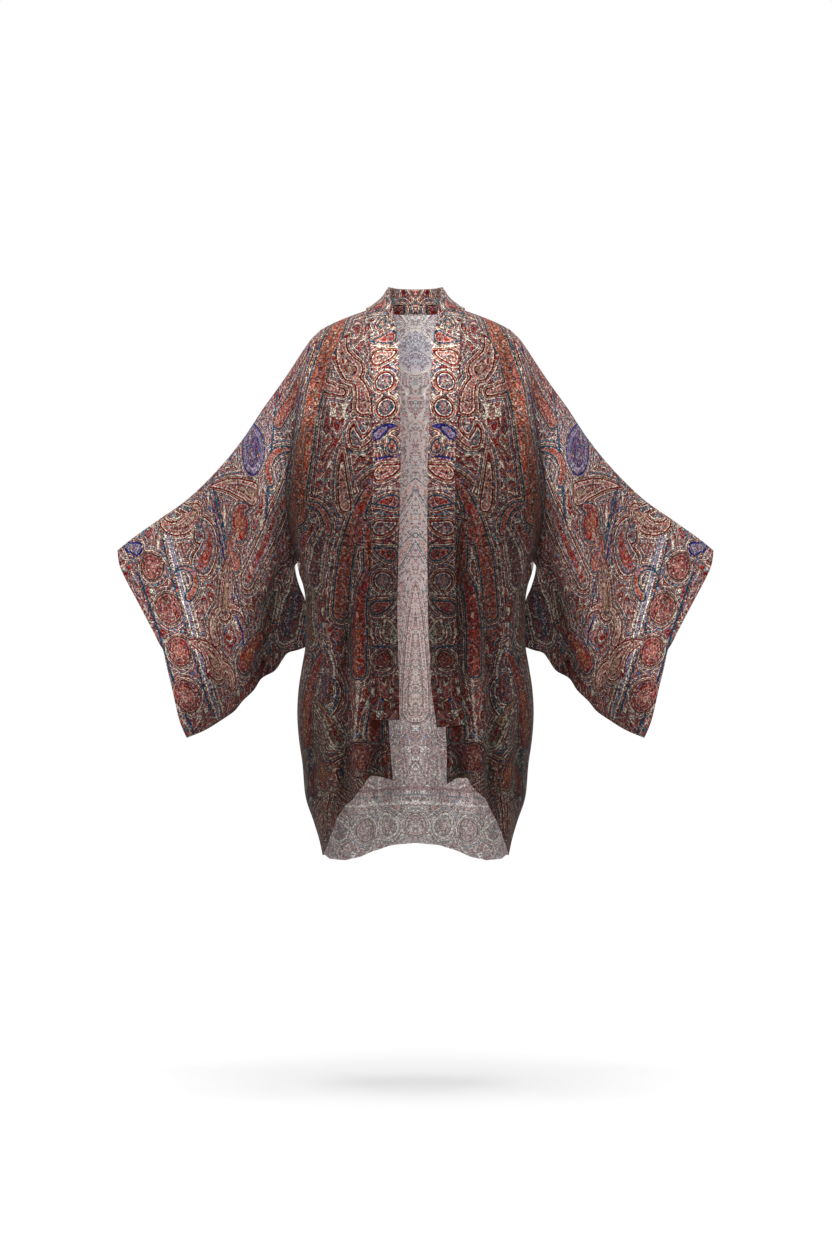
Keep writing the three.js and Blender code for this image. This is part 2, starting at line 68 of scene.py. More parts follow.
# Finer steps of the shells
FINE_UP, FINE_SIDE, FINE_FURI = 120, 140, 44
FINE_FRONT, FINE_NECK, FINE_SLEEVE = 60, 20, 108

SHOULDER = [(80, 4), (106, -5), (130, -14), (150, -23), (166, -32), (183, -49), (195, -66)]
NECK_X, TIP_X = SHOULDER[0][0], SHOULDER[-1][0]
ARMHOLE = [
    (195, 0, -66), (196, 26, -79), (199, 45, -112), (206, 58, -160), (217, 65, -235),
    (225, 63, -310), (222, 48, -375), (214, 26, -418), (207, 4, -437),
]
SIDE_SEAM = [
    (207, 4, -437), (204, 0, -454), (196, 0, -478), (192, 0, -500), (191, 0, -545),
    (192, 0, -586), (198, 0, -622), (204, 0, -662), (206, 0, -705), (203, 0, -748),
    (197, 0, -790), (191, 0, -850), (178, 0, -889), (167, 0, -924), (161, 0, -950),
]
FURI = [
    (211, -6, 6, -439), (210, -2, 9, -456), (203, 8, 20, -482), (193, 20, 34, -508),
    (188, 30, 44, -545), (186, 39, 39, -583),
]
SLEEVE_TOP = [
    (195, -66), (230, -119), (267, -171), (302, -224), (344, -276), (398, -329),
    (447, -364), (496, -399), (519, -418),
]
SLEEVE_BOTTOM = [
    (186, -583), (207, -591), (226, -597), (235, -609), (247, -627), (270, -641),
    (283, -661), (303, -681), (316, -697), (340, -714), (368, -731), (399, -744),
]
CUFF = [
    (519, -418), (514, -444), (503, -469), (476, -521), (457, -557), (444, -581),
    (437, -592), (432, -615), (421, -662), (410, -714), (399, -744),
]
SLEEVE_DEPTH = [(0, 64), (0.35, 50), (0.7, 36), (1, 27)]
CUFF_FORWARD, CUFF_ROLL = 14, 13
CENTRE_BACK = [
    (62, 2), (76, -26), (92, -90), (102, -180), (99, -300), (94, -430), (97, -560),
    (106, -700), (111, -800), (106, -939),
]
BACK_HEM = [(0, -939), (40, -943), (73, -952), (100, -962), (125, -967), (150, -961), (161, -950)]
NECK_EDGE = [
    (80, 0, 4), (79, -32, -6), (72, -60, -32), (60, -84, -72), (51, -102, -122),
    (47, -116, -190), (45, -121, -280), (45, -118, -380),
]
FRONTS = {
    "right": {
        "side": -1,
        "edge": NECK_EDGE + [
            (46, -117, -440), (47, -119, -560), (46, -123, -690), (44, -125, -735), (38, -127, -811),
        ],
        "hem": [
            (38, -811), (60, -805), (78, -804), (90, -824), (104, -843), (123, -857),
            (133, -876), (139, -898), (147, -925), (161, -950),
        ],
        "band": [
            (30, -62), (27, -120), (25, -290), (29, -440), (31, -530), (28, -640), (27, -709),
        ],
    },
    "left": {
        "side": 1,
        "edge": NECK_EDGE + [
            (45, -117, -440), (44, -119, -560), (49, -123, -690), (52, -125, -740), (53, -127, -817),
        ],
        "hem": [
            (53, -817), (70, -808), (88, -807), (96, -824), (108, -836), (122, -845),
            (131, -862), (140, -885), (149, -918), (161, -950),
        ],
        "band": [
            (29, -62), (26, -120), (20, -290), (20, -440), (21, -530), (26, -650), (36, -721),
        ],
    },
}
COLLAR_BACK = [(0, 52, 47), (30, 44, 47), (46, 4, 44)]
COLLAR_FRONT = [(46, 4, 44), (45, -10, 38), (43, -32, 22), (38, -56, -9)]
ARMPIT_LEVEL = -432

# Folds of the solids, then the shells' own finer creases: side, the two ends, half width, height
FRONT_FOLDS = [
    (0, 128, -22, 117, -190, 11, -5), (0, 152, -40, 160, -265, 12, -8), (0, 176, -62, 186, -320, 11, 6),
    (0, 204, -110, 222, -330, 14, -7), (0, 226, -330, 212, -445, 15, -11),
    (0, 240, -130, 262, -470, 20, 8), (0, 236, -440, 268, -640, 14, -13),
    (0, 292, -330, 318, -700, 22, 7), (0, 330, -420, 352, -720, 15, -6), (0, 400, -350, 412, -720, 30, 5),
    (0, 100, -360, 122, -640, 12, -6), (-1, 62, -360, 64, -830, 13, -12), (-1, 88, -330, 95, -840, 13, 9),
    (-1, 120, -500, 122, -870, 13, -8), (-1, 147, -470, 146, -940, 13, 6),
    (1, 76, -300, 72, -830, 13, -13), (1, 104, -330, 106, -850, 14, 9), (1, 132, -520, 130, -890, 13, -8),
    (1, 156, -480, 152, -940, 12, 6),
]
BACK_FOLDS = [
    (0, 0, -300, 0, -960, 24, -6), (0, 40, -260, 46, -980, 18, 8), (-1, 67, -620, 65, -980, 7, -8),
    (0, 92, -300, 104, -980, 18, -8), (0, 138, -380, 134, -980, 17, 7), (0, 168, -150, 178, -420, 14, -7),
    (0, 228, -170, 250, -460, 20, 7), (0, 240, -440, 270, -640, 15, -9), (0, 300, -330, 330, -700, 22, 7),
    (0, 372, -350, 386, -720, 22, -5),
]
FRONT_CREASES = [
    (-1, 112, -60, 104, -230, 4, -1.6), (1, 108, -80, 102, -240, 4, -1.5),
    (0, 140, -60, 143, -210, 5, 1.8), (-1, 168, -90, 176, -300, 4, -2.0),
    (1, 166, -110, 175, -310, 4, -2.1), (0, 196, -120, 208, -290, 5, 2.0),
    (-1, 192, -330, 166, -430, 6, -2.4), (1, 196, -340, 168, -450, 6, -2.2),
    (0, 204, -390, 176, -470, 6, 2.2), (-1, 200, -430, 172, -520, 5, -2.2),
    (1, 202, -425, 174, -508, 5, -2.3), (-1, 184, -500, 168, -640, 6, 2.0),
    (1, 182, -520, 170, -660, 6, 1.9), (-1, 108, -420, 112, -560, 5, 1.8),
    (1, 122, -400, 120, -560, 5, -1.8), (-1, 82, -560, 80, -760, 5, -2.0),
    (1, 90, -540, 88, -740, 5, -2.0), (-1, 132, -640, 136, -800, 5, 1.7),
    (1, 144, -660, 142, -820, 5, -1.8), (0, 180, -660, 172, -860, 7, -2.4),
    (0, 244, -360, 230, -470, 6, -3.0), (0, 262, -420, 236, -540, 6, 2.8),
    (0, 278, -470, 250, -600, 6, -3.2), (0, 296, -520, 276, -640, 6, 2.4),
    (0, 226, -480, 214, -570, 6, -2.6), (-1, 316, -560, 322, -690, 5, -2.2),
    (1, 320, -550, 328, -690, 5, -2.1), (0, 284, -260, 300, -420, 8, -2.0),
    (0, 352, -330, 372, -520, 9, 2.0), (0, 388, -560, 392, -720, 7, -2.0),
    (-1, 440, -400, 428, -560, 9, -1.6), (1, 444, -410, 430, -580, 9, -1.6),
]
BACK_CREASES = [
    (0, 18, -70, 14, -260, 9, -1.6), (-1, 60, -120, 70, -420, 7, -1.9), (1, 66, -140, 74, -460, 7, -1.9),
    (0, 118, -160, 124, -400, 7, 1.8), (-1, 22, -560, 26, -940, 6, 2.0), (1, 20, -600, 22, -940, 6, -1.9),
    (0, 84, -640, 82, -950, 6, 2.0), (-1, 120, -560, 118, -950, 6, -2.0),
    (1, 116, -600, 120, -950, 6, 2.0), (0, 156, -560, 152, -900, 7, -2.2),
    (0, 196, -330, 168, -450, 6, -2.4), (0, 204, -400, 176, -500, 6, 2.2),
    (0, 262, -420, 236, -540, 7, 2.6), (0, 280, -470, 252, -600, 7, -2.8),
    (0, 300, -260, 312, -460, 8, -2.0), (0, 352, -360, 366, -600, 9, 2.0),
    (0, 420, -420, 420, -620, 10, -1.6),
]
FOLDS = {"front": FRONT_FOLDS + FRONT_CREASES, "back": BACK_FOLDS + BACK_CREASES}

# Paisley drops: x and z of the round end, length, radius, heading and turn in degrees, how
# long they keep their width, style. Headings run from 0, out to the side, to 90, up.
# All are mirrored left to right.
ORANGE, RED, CREAM, DARK, GREY, OLIVE, NAVY, RINGS, LILAC, ROSE = range(10)
FRONT_DROPS = [
    (203, -356, 400, 16, 98, 24, 14, ORANGE), (128, -528, 300, 14, 99, 42, 3, ROSE),
    (100, -622, 200, 15, 92, 26, 3, RED), (119, -345, 96, 11, 84, 12, 1.6, CREAM),
    (222, -262, 220, 9, 99, 20, 5, GREY), (212, -392, 210, 13, 98, 18, 3, ROSE),
    (156, -668, 96, 15, 97, -34, 1.5, DARK), (132, -742, 104, 14, 62, -24, 1.5, OLIVE),
    (190, -742, 170, 15, 96, 34, 2, RED), (102, -778, 58, 20, 140, 64, 1.2, RINGS),
    (160, -812, 76, 18, 82, -54, 1.3, OLIVE), (70, -736, 86, 15, 96, 40, 1.5, RED),
    (162, -892, 60, 15, 96, 40, 1.3, CREAM), (108, -112, 74, 19, 62, 84, 1.2, CREAM),
    (88, -176, 74, 15, 80, -62, 1.2, CREAM), (100, -236, 34, 11, 70, 50, 1.2, GREY),
    (84, -310, 40, 11, 130, 40, 1.2, RINGS), (174, -470, 110, 12, 100, 30, 2, DARK),
    (182, -566, 110, 13, 88, 30, 1.6, OLIVE), (72, -812, 40, 13, 30, 60, 1.3, OLIVE),
    (74, -470, 120, 12, 84, 12, 2, ROSE), (66, -560, 60, 10, 96, -30, 1.4, GREY),
    (126, -150, 110, 8, 40, 200, 2, CREAM), (92, -240, 100, 7, 120, -200, 2, CREAM),
    (150, -700, 130, 8, 100, -230, 2, GREY), (112, -842, 120, 8, 60, 220, 2, CREAM),
    (150, -388, 90, 8, 70, -150, 2, ROSE), (96, -404, 80, 8, 110, 160, 2, RED),
    (176, -836, 110, 8, 110, 200, 2, RED),
]
SLEEVE_DROPS = [
    (290, -470, 230, 14, 114, -12, 3, GREY), (230, -556, 170, 20, 108, -22, 1.6, DARK),
    (280, -322, 84, 14, 22, -50, 1.3, CREAM), (278, -250, 62, 27, 74, 24, 1.3, NAVY),
    (302, -378, 50, 19, 84, 150, 1.1, RED), (384, -356, 90, 17, -34, 170, 1.3, CREAM),
    (368, -440, 110, 20, 100, -140, 1.3, GREY), (330, -520, 140, 15, 96, 16, 1.5, CREAM),
    (296, -612, 90, 16, 120, 40, 1.5, RED), (344, -624, 80, 18, 60, -80, 1.3, CREAM),
    (456, -448, 26, 21, 60, 60, 1.2, RINGS), (428, -520, 20, 24, 90, 60, 1.2, RINGS),
    (409, -594, 20, 24, 90, 60, 1.2, RINGS), (396, -674, 22, 26, 90, 60, 1.2, RINGS),
    (484, -416, 34, 12, 20, 60, 1.2, NAVY), (236, -196, 110, 12, 120, -16, 3, ROSE),
    (240, -360, 220, 10, 112, -10, 5, ORANGE), (262, -556, 80, 11, 100, 20, 2, OLIVE),
    (310, -440, 60, 12, 70, 60, 1.3, ROSE), (376, -398, 140, 8, 60, -230, 2, GREY),
    (346, -576, 120, 8, 100, 210, 2, CREAM), (318, -652, 90, 7, 60, -220, 2, CREAM),
    (392, -500, 90, 7, 100, -200, 2, ROSE), (250, -300, 100, 8, 100, 170, 2, ROSE),
]
BACK_DROPS = [
    (0, -62, 40, 36, 90, 0, 1.3, LILAC), (118, -560, 230, 17, 122, 12, 3, ORANGE),
    (84, -430, 190, 15, 118, 18, 3, ROSE), (150, -420, 280, 15, 108, 20, 5, ORANGE),
    (0, -700, 230, 26, 90, 0, 1.6, CREAM), (200, -390, 320, 15, 96, 30, 3, RED),
    (58, -742, 96, 19, 74, -80, 1.3, GREY), (112, -706, 100, 18, 86, 70, 1.3, ROSE),
    (168, -610, 140, 15, 98, 30, 1.6, DARK), (186, -760, 130, 16, 96, -26, 1.5, RED),
    (60, -190, 110, 16, 70, 60, 1.3, CREAM), (112, -150, 120, 14, 100, 40, 2, ORANGE),
    (44, -310, 100, 14, 66, 50, 1.4, GREY), (0, -908, 20, 20, 90, 0, 1.2, RINGS),
    (52, -912, 24, 20, 70, 40, 1.2, OLIVE), (104, -922, 24, 20, 110, -40, 1.2, RINGS),
    (156, -922, 24, 19, 70, 40, 1.2, DARK), (204, -880, 24, 17, 110, -40, 1.2, CREAM),
]
# On the band x runs across from its seam, 0, to its free edge, 47, and z down from the neck
BAND_DROPS = [
    (12, 64, 34, 12, 176, 50, 1.2, RED), (34, 22, 34, 12, 4, -40, 1.2, CREAM),
    (36, -46, 40, 13, 168, 60, 1.2, RED), (24, -88, 8, 9, 20, -40, 1.2, ORANGE),
    (36, -122, 40, 12, 190, -60, 1.2, RED), (14, -160, 36, 14, 10, 50, 1.2, CREAM),
    (22, -206, 14, 17, 40, 60, 1.2, GREY), (24, -252, 14, 17, 40, 60, 1.2, GREY),
    (8, -296, 38, 10, 30, -50, 1.2, NAVY), (34, -322, 18, 9, 90, 60, 1.2, RED),
    (14, -362, 40, 14, 12, 40, 1.2, CREAM), (36, -412, 34, 12, 176, 40, 1.2, RED),
    (14, -456, 34, 14, 12, 40, 1.2, GREY), (34, -500, 34, 12, 170, -40, 1.2, RED),
    (22, -546, 14, 17, 60, 60, 1.2, GREY), (12, -592, 36, 12, 20, 40, 1.2, RED),
    (34, -634, 24, 12, 100, 40, 1.2, OLIVE), (20, -680, 16, 15, 70, 60, 1.2, RINGS),
]
# Straight lines and borders of the print: two ends, half width, style
FRONT_STRIPES = [
    (184, -66, 222, -300, 2.2, NAVY), (166, -60, 208, -300, 1.4, RED), (150, -40, 176, -330, 1.2, CREAM),
    (96, -640, 108, -800, 2.5, OLIVE), (176, -600, 186, -900, 2.2, RED),
]
SLEEVE_STRIPES = [
    (353, -294, 277, -625, 3.4, RED), (360, -300, 286, -634, 1.6, NAVY),
    (435, -367, 345, -705, 6.0, LILAC), (425, -367, 336, -700, 1.8, DARK),
    (446, -372, 355, -708, 1.8, RED), (498, -404, 388, -738, 2.2, RED), (506, -410, 394, -742, 1.6, DARK),
    (238, -130, 262, -420, 2.0, RED),
]
BACK_STRIPES = [
    (0, -290, 260, -520, 3.0, GREY), (0, -308, 260, -540, 1.6, RED), (0, -840, 270, -862, 3.2, GREY),
    (0, -852, 270, -874, 1.6, RED), (0, -866, 270, -888, 2.4, DARK), (214, -150, 262, -420, 2.4, RED),
]
BAND_STRIPES = [
    (0, 8, 47, -2, 1.6, GREY), (0, -76, 47, -64, 1.4, LILAC), (0, -104, 47, -112, 1.6, LILAC),
    (0, -178, 47, -184, 1.6, CREAM), (0, -276, 47, -272, 1.6, CREAM), (0, -338, 47, -334, 2.0, NAVY),
    (0, -388, 47, -392, 1.8, DARK), (0, -480, 47, -476, 1.8, CREAM), (0, -570, 47, -566, 1.8, DARK),
    (0, -656, 47, -660, 1.8, RED),
]
# The flat cut of what shows: width, length and area, in metres. The band is stated as folded.
CUT = {
    "back": (0.545, 0.99, 0.469),
    "front": (0.28, 0.94, 0.187),
    "sleeve_front": (0.485, 0.575, 0.131),
    "sleeve_back": (0.485, 0.58, 0.127),
    "neckband": (0.062, 1.785, 0.086),
}
# Colours of the print, linear
PALETTE = {
    "blush": (0.21, 0.143, 0.13),
    "cream": (0.36, 0.28, 0.24),
    "rose": (0.22, 0.096, 0.09),
    "rust": (0.1, 0.042, 0.036),
    "brown": (0.058, 0.023, 0.02),
    "slate": (0.145, 0.13, 0.155),
    "dusk": (0.062, 0.038, 0.04),
    "olive": (0.044, 0.024, 0.018),
}
# Heights at which places on the flat cloth and on the hung panel agree
BODY_LEVEL, SLEEVE_LEVEL = -300, -400
# Height of the band's own places at the middle of the back neck
BAND_TOP = 92
# Share of the band's width that rounds over at each folded edge
BAND_ROUND = 0.03
# How much further in the band's stitching is counted, so that it runs near its seam
BAND_HEM = 8
# Painted light and shade on the unprinted inside, by depth below the shoulders: how much its colour is
# brightened near the top and darkened towards the hem
INSIDE_PAINTED_LIGHT = [(-50, 2.6), (0, 1.88), (200, 2.22), (450, 2.14), (650, 1.52), (800, 0.98), (970, 0.6)]
# Painted shade of the folds: how much a millimetre of fold height lightens the outside's colour on ridges
# and darkens it in troughs, and darkens the inside's
FOLD_PAINTED_SHADE, FOLD_INSIDE_PAINTED_SHADE = 0.042, 0.012
# Soft patches of the ground: place, reach, colour. Their tone darkens or lightens the whole print over
# them; the dark patches on the sleeves' undersides and low on the body are partly darker print and partly
# painted shade.
BODY_PATCHES = [
    (100, -60, 90, "blush"), (90, -180, 80, "blush"), (170, -120, 70, "rose"),
    (140, -250, 80, "rust"), (200, -330, 60, "brown"), (90, -330, 80, "rust"),
    (110, -450, 90, "brown"), (190, -480, 70, "rust"), (90, -600, 90, "brown"),
    (150, -640, 90, "rust"), (80, -760, 80, "brown"), (160, -800, 90, "olive"),
    (150, -920, 70, "brown"), (200, -560, 60, "olive"), (205, -740, 70, "olive"),
]
SLEEVE_PATCHES = [
    (215, -120, 70, "rose"), (270, -220, 60, "slate"), (300, -290, 70, "blush"),
    (340, -380, 80, "rust"), (390, -350, 60, "blush"), (300, -420, 60, "rose"),
    (250, -400, 60, "dusk"), (290, -540, 80, "rust"), (240, -520, 70, "dusk"),
    (350, -520, 90, "blush"), (430, -470, 80, "rose"), (480, -430, 60, "blush"),
    (400, -620, 80, "rose"), (340, -680, 60, "brown"), (280, -640, 60, "brown"),
]
BACK_PATCHES = [
    (0, -60, 90, "slate"), (60, -180, 90, "blush"), (170, -160, 90, "rose"),
    (0, -330, 90, "blush"), (110, -400, 90, "rust"), (220, -400, 90, "rose"),
    (0, -560, 90, "rose"), (120, -620, 100, "brown"), (0, -760, 90, "rust"),
    (200, -700, 90, "rust"), (0, -920, 80, "blush"), (120, -900, 90, "brown"),
    (240, -880, 80, "olive"),
]
# The first patch, cream at the back of the neck, is painted light: it brightens the band there, whose
# inner face lies in shadow
BAND_PATCHES = [
    (24, 120, 90, "cream"), (24, 20, 50, "blush"), (24, -60, 60, "blush"), (24, -160, 60, "cream"),
    (24, -230, 50, "blush"), (24, -300, 50, "rose"), (24, -380, 50, "rose"), (24, -440, 60, "rust"),
    (24, -540, 60, "brown"), (24, -640, 70, "brown"),
]
PRINTS = {
    "back": (BACK_DROPS, BACK_STRIPES, BACK_PATCHES),
    "front": (FRONT_DROPS, FRONT_STRIPES, BODY_PATCHES),
    "sleeve": (SLEEVE_DROPS, SLEEVE_STRIPES, SLEEVE_PATCHES),
}


def lerp(a, b, t):
    return a + (b - a) * t


def smooth(low, high, x):
    t = np.clip((np.asarray(x, float) - low) / (high - low), 0, 1)
    return t * t * (3 - 2 * t)


def look_up(rows, key):
    rows = np.asarray(rows, float)
    return np.interp(key, rows[:, 0], rows[:, 1])


def unit(v):
    return v / np.maximum(np.linalg.norm(v, axis=-1, keepdims=True), 1e-9)


def run_along(points):
    """Length from the first point to each point of a line"""
    return np.concatenate([[0], np.cumsum(np.linalg.norm(np.diff(points, axis=0), axis=1))])


def spline_at(p, t):
    """Centripetal Catmull-Rom through the rows of p, read by its own parameter, 0 to 1."""
    n = len(p)
    at = np.asarray(t, float) * (n - 1)
    i = np.minimum(at.astype(int), n - 2)
    w = (at - i)[..., None]
    ends = np.vstack([2 * p[0] - p[1], p, 2 * p[-1] - p[-2]])
    q = [ends[i + k] for k in range(4)]
    step = [np.sqrt(np.linalg.norm(q[k + 1] - q[k], axis=-1, keepdims=True)) for k in range(3)]
    a, b, c = step
    t1 = ((q[1] - q[0]) / a - (q[2] - q[0]) / (a + b) + (q[2] - q[1]) / b) * b
    t2 = ((q[2] - q[1]) / b - (q[3] - q[1]) / (b + c) + (q[3] - q[2]) / c) * b
    d = q[2] - q[1]
    return q[1] + w * t1 + w**2 * (3 * d - 2 * t1 - t2) + w**3 * (t1 + t2 - 2 * d)


def curve_through(rows):
    """The same curve, read by its share of the length."""
    p = np.asarray(rows, float)
    t = np.linspace(0, 1, 401)
    places = spline_at(p, t)
    run = run_along(places)
    return lambda share: spline_at(p, np.interp(np.clip(share, 0, 1) * run[-1], run, t))


armhole = curve_through(ARMHOLE)
side_seam = curve_through(SIDE_SEAM)


def upper_share(row):
    return np.clip(row / ARMHOLE_ROWS, 0, 1) ** ROW_POWER


def lower_share(row):
    return np.clip((row - ARMHOLE_ROWS) / SIDE_ROWS, 0, 1)


def outer_edge(row):
    above = (row <= ARMHOLE_ROWS)[..., None]
    return np.where(above, armhole(upper_share(row)), side_seam(lower_share(row)))


def edge_by_row(rows):
    curve = curve_through(rows)
    steps = np.arange(501) * 0.002
    split = steps[np.argmax(curve(steps)[:, 2] <= ARMPIT_LEVEL)]

    def at(row):
        share = np.where(
            row <= ARMHOLE_ROWS, split * upper_share(row), lerp(split, 1, lower_share(row))
        )
        return curve(share)

    return at


def ring(s):
    return np.clip(1 - np.abs(s) ** RING_POWER, 0, 1) ** (1 / RING_POWER)


def front_surface(front):
    edge = edge_by_row(front["edge"])
    first, last = np.array(0.0), np.array(float(BODY_ROWS))

    def at(s, row):
        inner, outer = edge(row), outer_edge(row)
        share = row / BODY_ROWS
        tip, neck = outer_edge(first), edge(first)
        hem_out, hem_in = outer_edge(last), edge(last)
        across = np.clip(s, 0, 1)
        shoulder = look_up(SHOULDER, lerp(neck[0], tip[0], across)) - lerp(neck[2], tip[2], across)
        hem = look_up(front["hem"], lerp(hem_in[0], hem_out[0], across))
        hem = hem - lerp(hem_in[2], hem_out[2], across)
        x = front["side"] * lerp(inner[..., 0], outer[..., 0], s)
        y = -lerp(outer[..., 1], -inner[..., 1], ring(s))
        z = lerp(inner[..., 2], outer[..., 2], across)
        z = z + (1 - share) ** 2 * shoulder + share**3 * hem
        return np.stack([x, y, z], -1)

    return at


centre_back = edge_by_row([(0, y, z) for y, z in CENTRE_BACK])


def back_surface(s, row):
    first, last = np.array(0.0), np.array(float(BODY_ROWS))
    a = np.abs(s)
    inner, outer = centre_back(row), outer_edge(row)
    share = row / BODY_ROWS
    top, bottom = centre_back(first), centre_back(last)
    tip, hem_out = outer_edge(first), outer_edge(last)
    top_x = a * tip[0]
    neck_share = np.clip(top_x / NECK_X, 0, 1)
    top_y = top[1] * np.sqrt(1 - neck_share**2)
    top_z = np.where(top_x < NECK_X, lerp(top[2], SHOULDER[0][1], neck_share), look_up(SHOULDER, top_x))
    hem = look_up(BACK_HEM, a * hem_out[0])
    from_top = (1 - np.clip(row / (ARMHOLE_ROWS * 0.75), 0, 1)) ** 2
    x = s * outer[..., 0]
    y = lerp(outer[..., 1], inner[..., 1], ring(a)) + from_top * (top_y - top[1] * ring(a))
    z = lerp(inner[..., 2], outer[..., 2], a)
    z = z + (1 - share) ** 3 * (top_z - lerp(top[2], tip[2], a))
    z = z + share**4 * (hem - lerp(bottom[2], hem_out[2], a))
    return np.stack([x, y, z], -1)


def sleeve_surface(side, layer):
    facing = -1 if layer == "front" else 1
    place = 1 if layer == "front" else 2
    furi = curve_through([(row[0], row[place], row[3]) for row in FURI])
    top_curve = curve_through([(x, 0, z) for x, z in SLEEVE_TOP])
    bottom_curve = curve_through([(x, 0, z) for x, z in SLEEVE_BOTTOM])
    cuff = curve_through([(x, 0, z) for x, z in CUFF])

    def inner_edge(row):
        sewn = armhole(upper_share(row))
        if layer == "front":
            sewn = sewn * np.array([1, -1, 1])
        free = furi(np.clip((row - ARMHOLE_ROWS) / FURI_ROWS, 0, 1))
        return np.where((row > ARMHOLE_ROWS)[..., None], free, sewn)

    def at(s, row):
        down = row / SLEEVE_ROWS
        t = ((1 - np.cos(np.pi * down)) / 2)[..., None]
        u = s[..., None]
        inner, outer = inner_edge(row), cuff(t[..., 0])
        in_top, in_bottom = inner_edge(np.array(0.0)), inner_edge(np.array(float(SLEEVE_ROWS)))
        between = lerp(inner, outer, u)
        between = between + (1 - t) * (top_curve(s) - lerp(in_top, top_curve(1.0), u))
        between = between + t * (bottom_curve(s) - lerp(in_bottom, bottom_curve(1.0), u))
        bulge = np.clip(np.sin(np.pi * down), 0, 1) ** 0.85 * (1 - 0.25 * down)
        roll = CUFF_ROLL * smooth(0.86, 1, s) * smooth(0.08, 0.3, t[..., 0])
        roll = roll * (1 - smooth(0.42, 0.6, t[..., 0])) * (layer == "front")
        hung = -CUFF_FORWARD * s + facing * look_up(SLEEVE_DEPTH, s) * bulge + roll
        y = lerp(inner[..., 1], hung, smooth(0, 0.6, s))
        return np.stack([side * between[..., 0], y, between[..., 2]], -1)

    return at


def fold_height(layer, x, z):
    height = np.zeros_like(x)
    for side, x0, z0, x1, z1, width, rise in FOLDS[layer]:
        dx, dz = x1 - x0, z1 - z0
        length = math.hypot(dx, dz)
        px, pz = np.abs(x) - x0, z - z0
        along = (px * dx + pz * dz) / length**2
        across = (px * dz - pz * dx) / length
        fade = smooth(-0.12, 0.3, along) * (1 - smooth(0.85, 1.15, along))
        height += np.where(side * x < 0, 0, rise * fade * np.exp(-((across / width) ** 2)))
    return height


def normals_of(points, facing):
    return unit(np.cross(np.gradient(points, axis=0), np.gradient(points, axis=1)) * facing)


def folded(surface, across, rows, layer, facing, fold_share):
    s, row = np.meshgrid(across, rows, indexing="ij")
    points = surface(s, row)
    height = fold_height(layer, points[..., 0], points[..., 2]) * fold_share(points, row)
    return points + normals_of(points, facing) * height[..., None]


def fine_rows(rows_below, steps_below):
    """Rows of a shell: evenly down the armhole, then evenly below the armpit."""
    above = ARMHOLE_ROWS * (np.arange(FINE_UP + 1) / FINE_UP) ** (1 / ROW_POWER)
    below = ARMHOLE_ROWS + rows_below * np.arange(1, steps_below + 1) / steps_below
    return np.concatenate([above, below])


BODY_FINE = fine_rows(SIDE_ROWS, FINE_SIDE)
SLEEVE_FINE = fine_rows(FURI_ROWS, FINE_FURI)
FRONT_SHARES = np.sin(np.arange(FINE_FRONT + 1) / FINE_FRONT * math.pi / 2)


def band_seam(front, z):
    free = look_up([(-z0, x0) for x0, z0 in front["band"]], -z)
    below = front["band"][-1][1] - z
    return free + lerp(BAND_WIDTH, BAND_TIP, smooth(*BAND_TAPER, below))


def make_front(front):
    return folded(
        front_surface(front),
        FRONT_SHARES,
        BODY_FINE,
        "front",
        -front["side"],
        lambda p, row: smooth(-4, 30, np.abs(p[..., 0]) - band_seam(front, p[..., 2])),
    )


def make_back():
    neck = NECK_X * np.sin(np.arange(FINE_NECK) / FINE_NECK * math.pi / 2)
    half = np.concatenate([neck, lerp(NECK_X, TIP_X, FRONT_SHARES)]) / TIP_X
    across = np.concatenate([-half[:0:-1], half])
    return folded(back_surface, across, BODY_FINE, "back", 1, lambda p, row: 1.0)


def make_sleeve(side, layer):
    return folded(
        sleeve_surface(side, layer),
        np.linspace(0, 1, FINE_SLEEVE + 1),
        SLEEVE_FINE,
        layer,
        -side if layer == "front" else side,
        lambda p, row: np.clip(np.sin(math.pi * row / SLEEVE_ROWS), 0, 1) ** 0.8,
    )


# Edges of the panels' grids: the first or last column, the top or bottom row
def edge_slice(which, start=0, stop=None, step=1):
    cut = slice(start, stop, step)
    places = {
        "first": np.s_[0, cut],
        "last": np.s_[-1, cut],
        "top": np.s_[cut, 0],
        "bottom": np.s_[cut, -1],
    }
    return places[which]


def move_edge(panel, which, where, move, reach=26):
    """Moves an edge, and what lies within reach of it less and less."""
    points = panel["p"]
    column = which in ("first", "last")
    lines = points if column else points.transpose(1, 0, 2)
    if which in ("last", "bottom"):
        lines = lines[::-1]
    cut = where[1] if column else where[0]
    part = lines[:, cut]
    run = np.cumsum(np.linalg.norm(np.diff(part, axis=0), axis=-1), axis=0)
    away = np.vstack([np.zeros((1, part.shape[1])), run])
    part += (1 - smooth(0, reach, away))[..., None] * move[None]


def meet(*edges):
    """Edges that are sewn together, each (panel, which, start, stop, step), meet half way."""
    places = []
    for panel, which, *cut in edges:
        places.append((panel, which, edge_slice(which, *cut)))
    middle = sum(panel["p"][where] for panel, _, where in places) / len(places)
    for panel, which, where in places:
        move_edge(panel, which, where, middle - panel["p"][where])


def share_normals(*edges):
    places = [(panel, edge_slice(which, *cut)) for panel, which, *cut in edges]
    total = unit(sum(panel["n"][where] for panel, where in places))
    for panel, where in places:
        panel["n"][where] = total


def make_panels():
    made = {
        "back": {"p": make_back(), "facing": 1},
        "front_right": {"p": make_front(FRONTS["right"]), "facing": 1},
        "front_left": {"p": make_front(FRONTS["left"]), "facing": -1},
    }
    for side, name in ((-1, "right"), (1, "left")):
        for layer in ("front", "back"):
            facing = -side if layer == "front" else side
            made[f"sleeve_{name}_{layer}"] = {"p": make_sleeve(side, layer), "facing": facing}
    return made


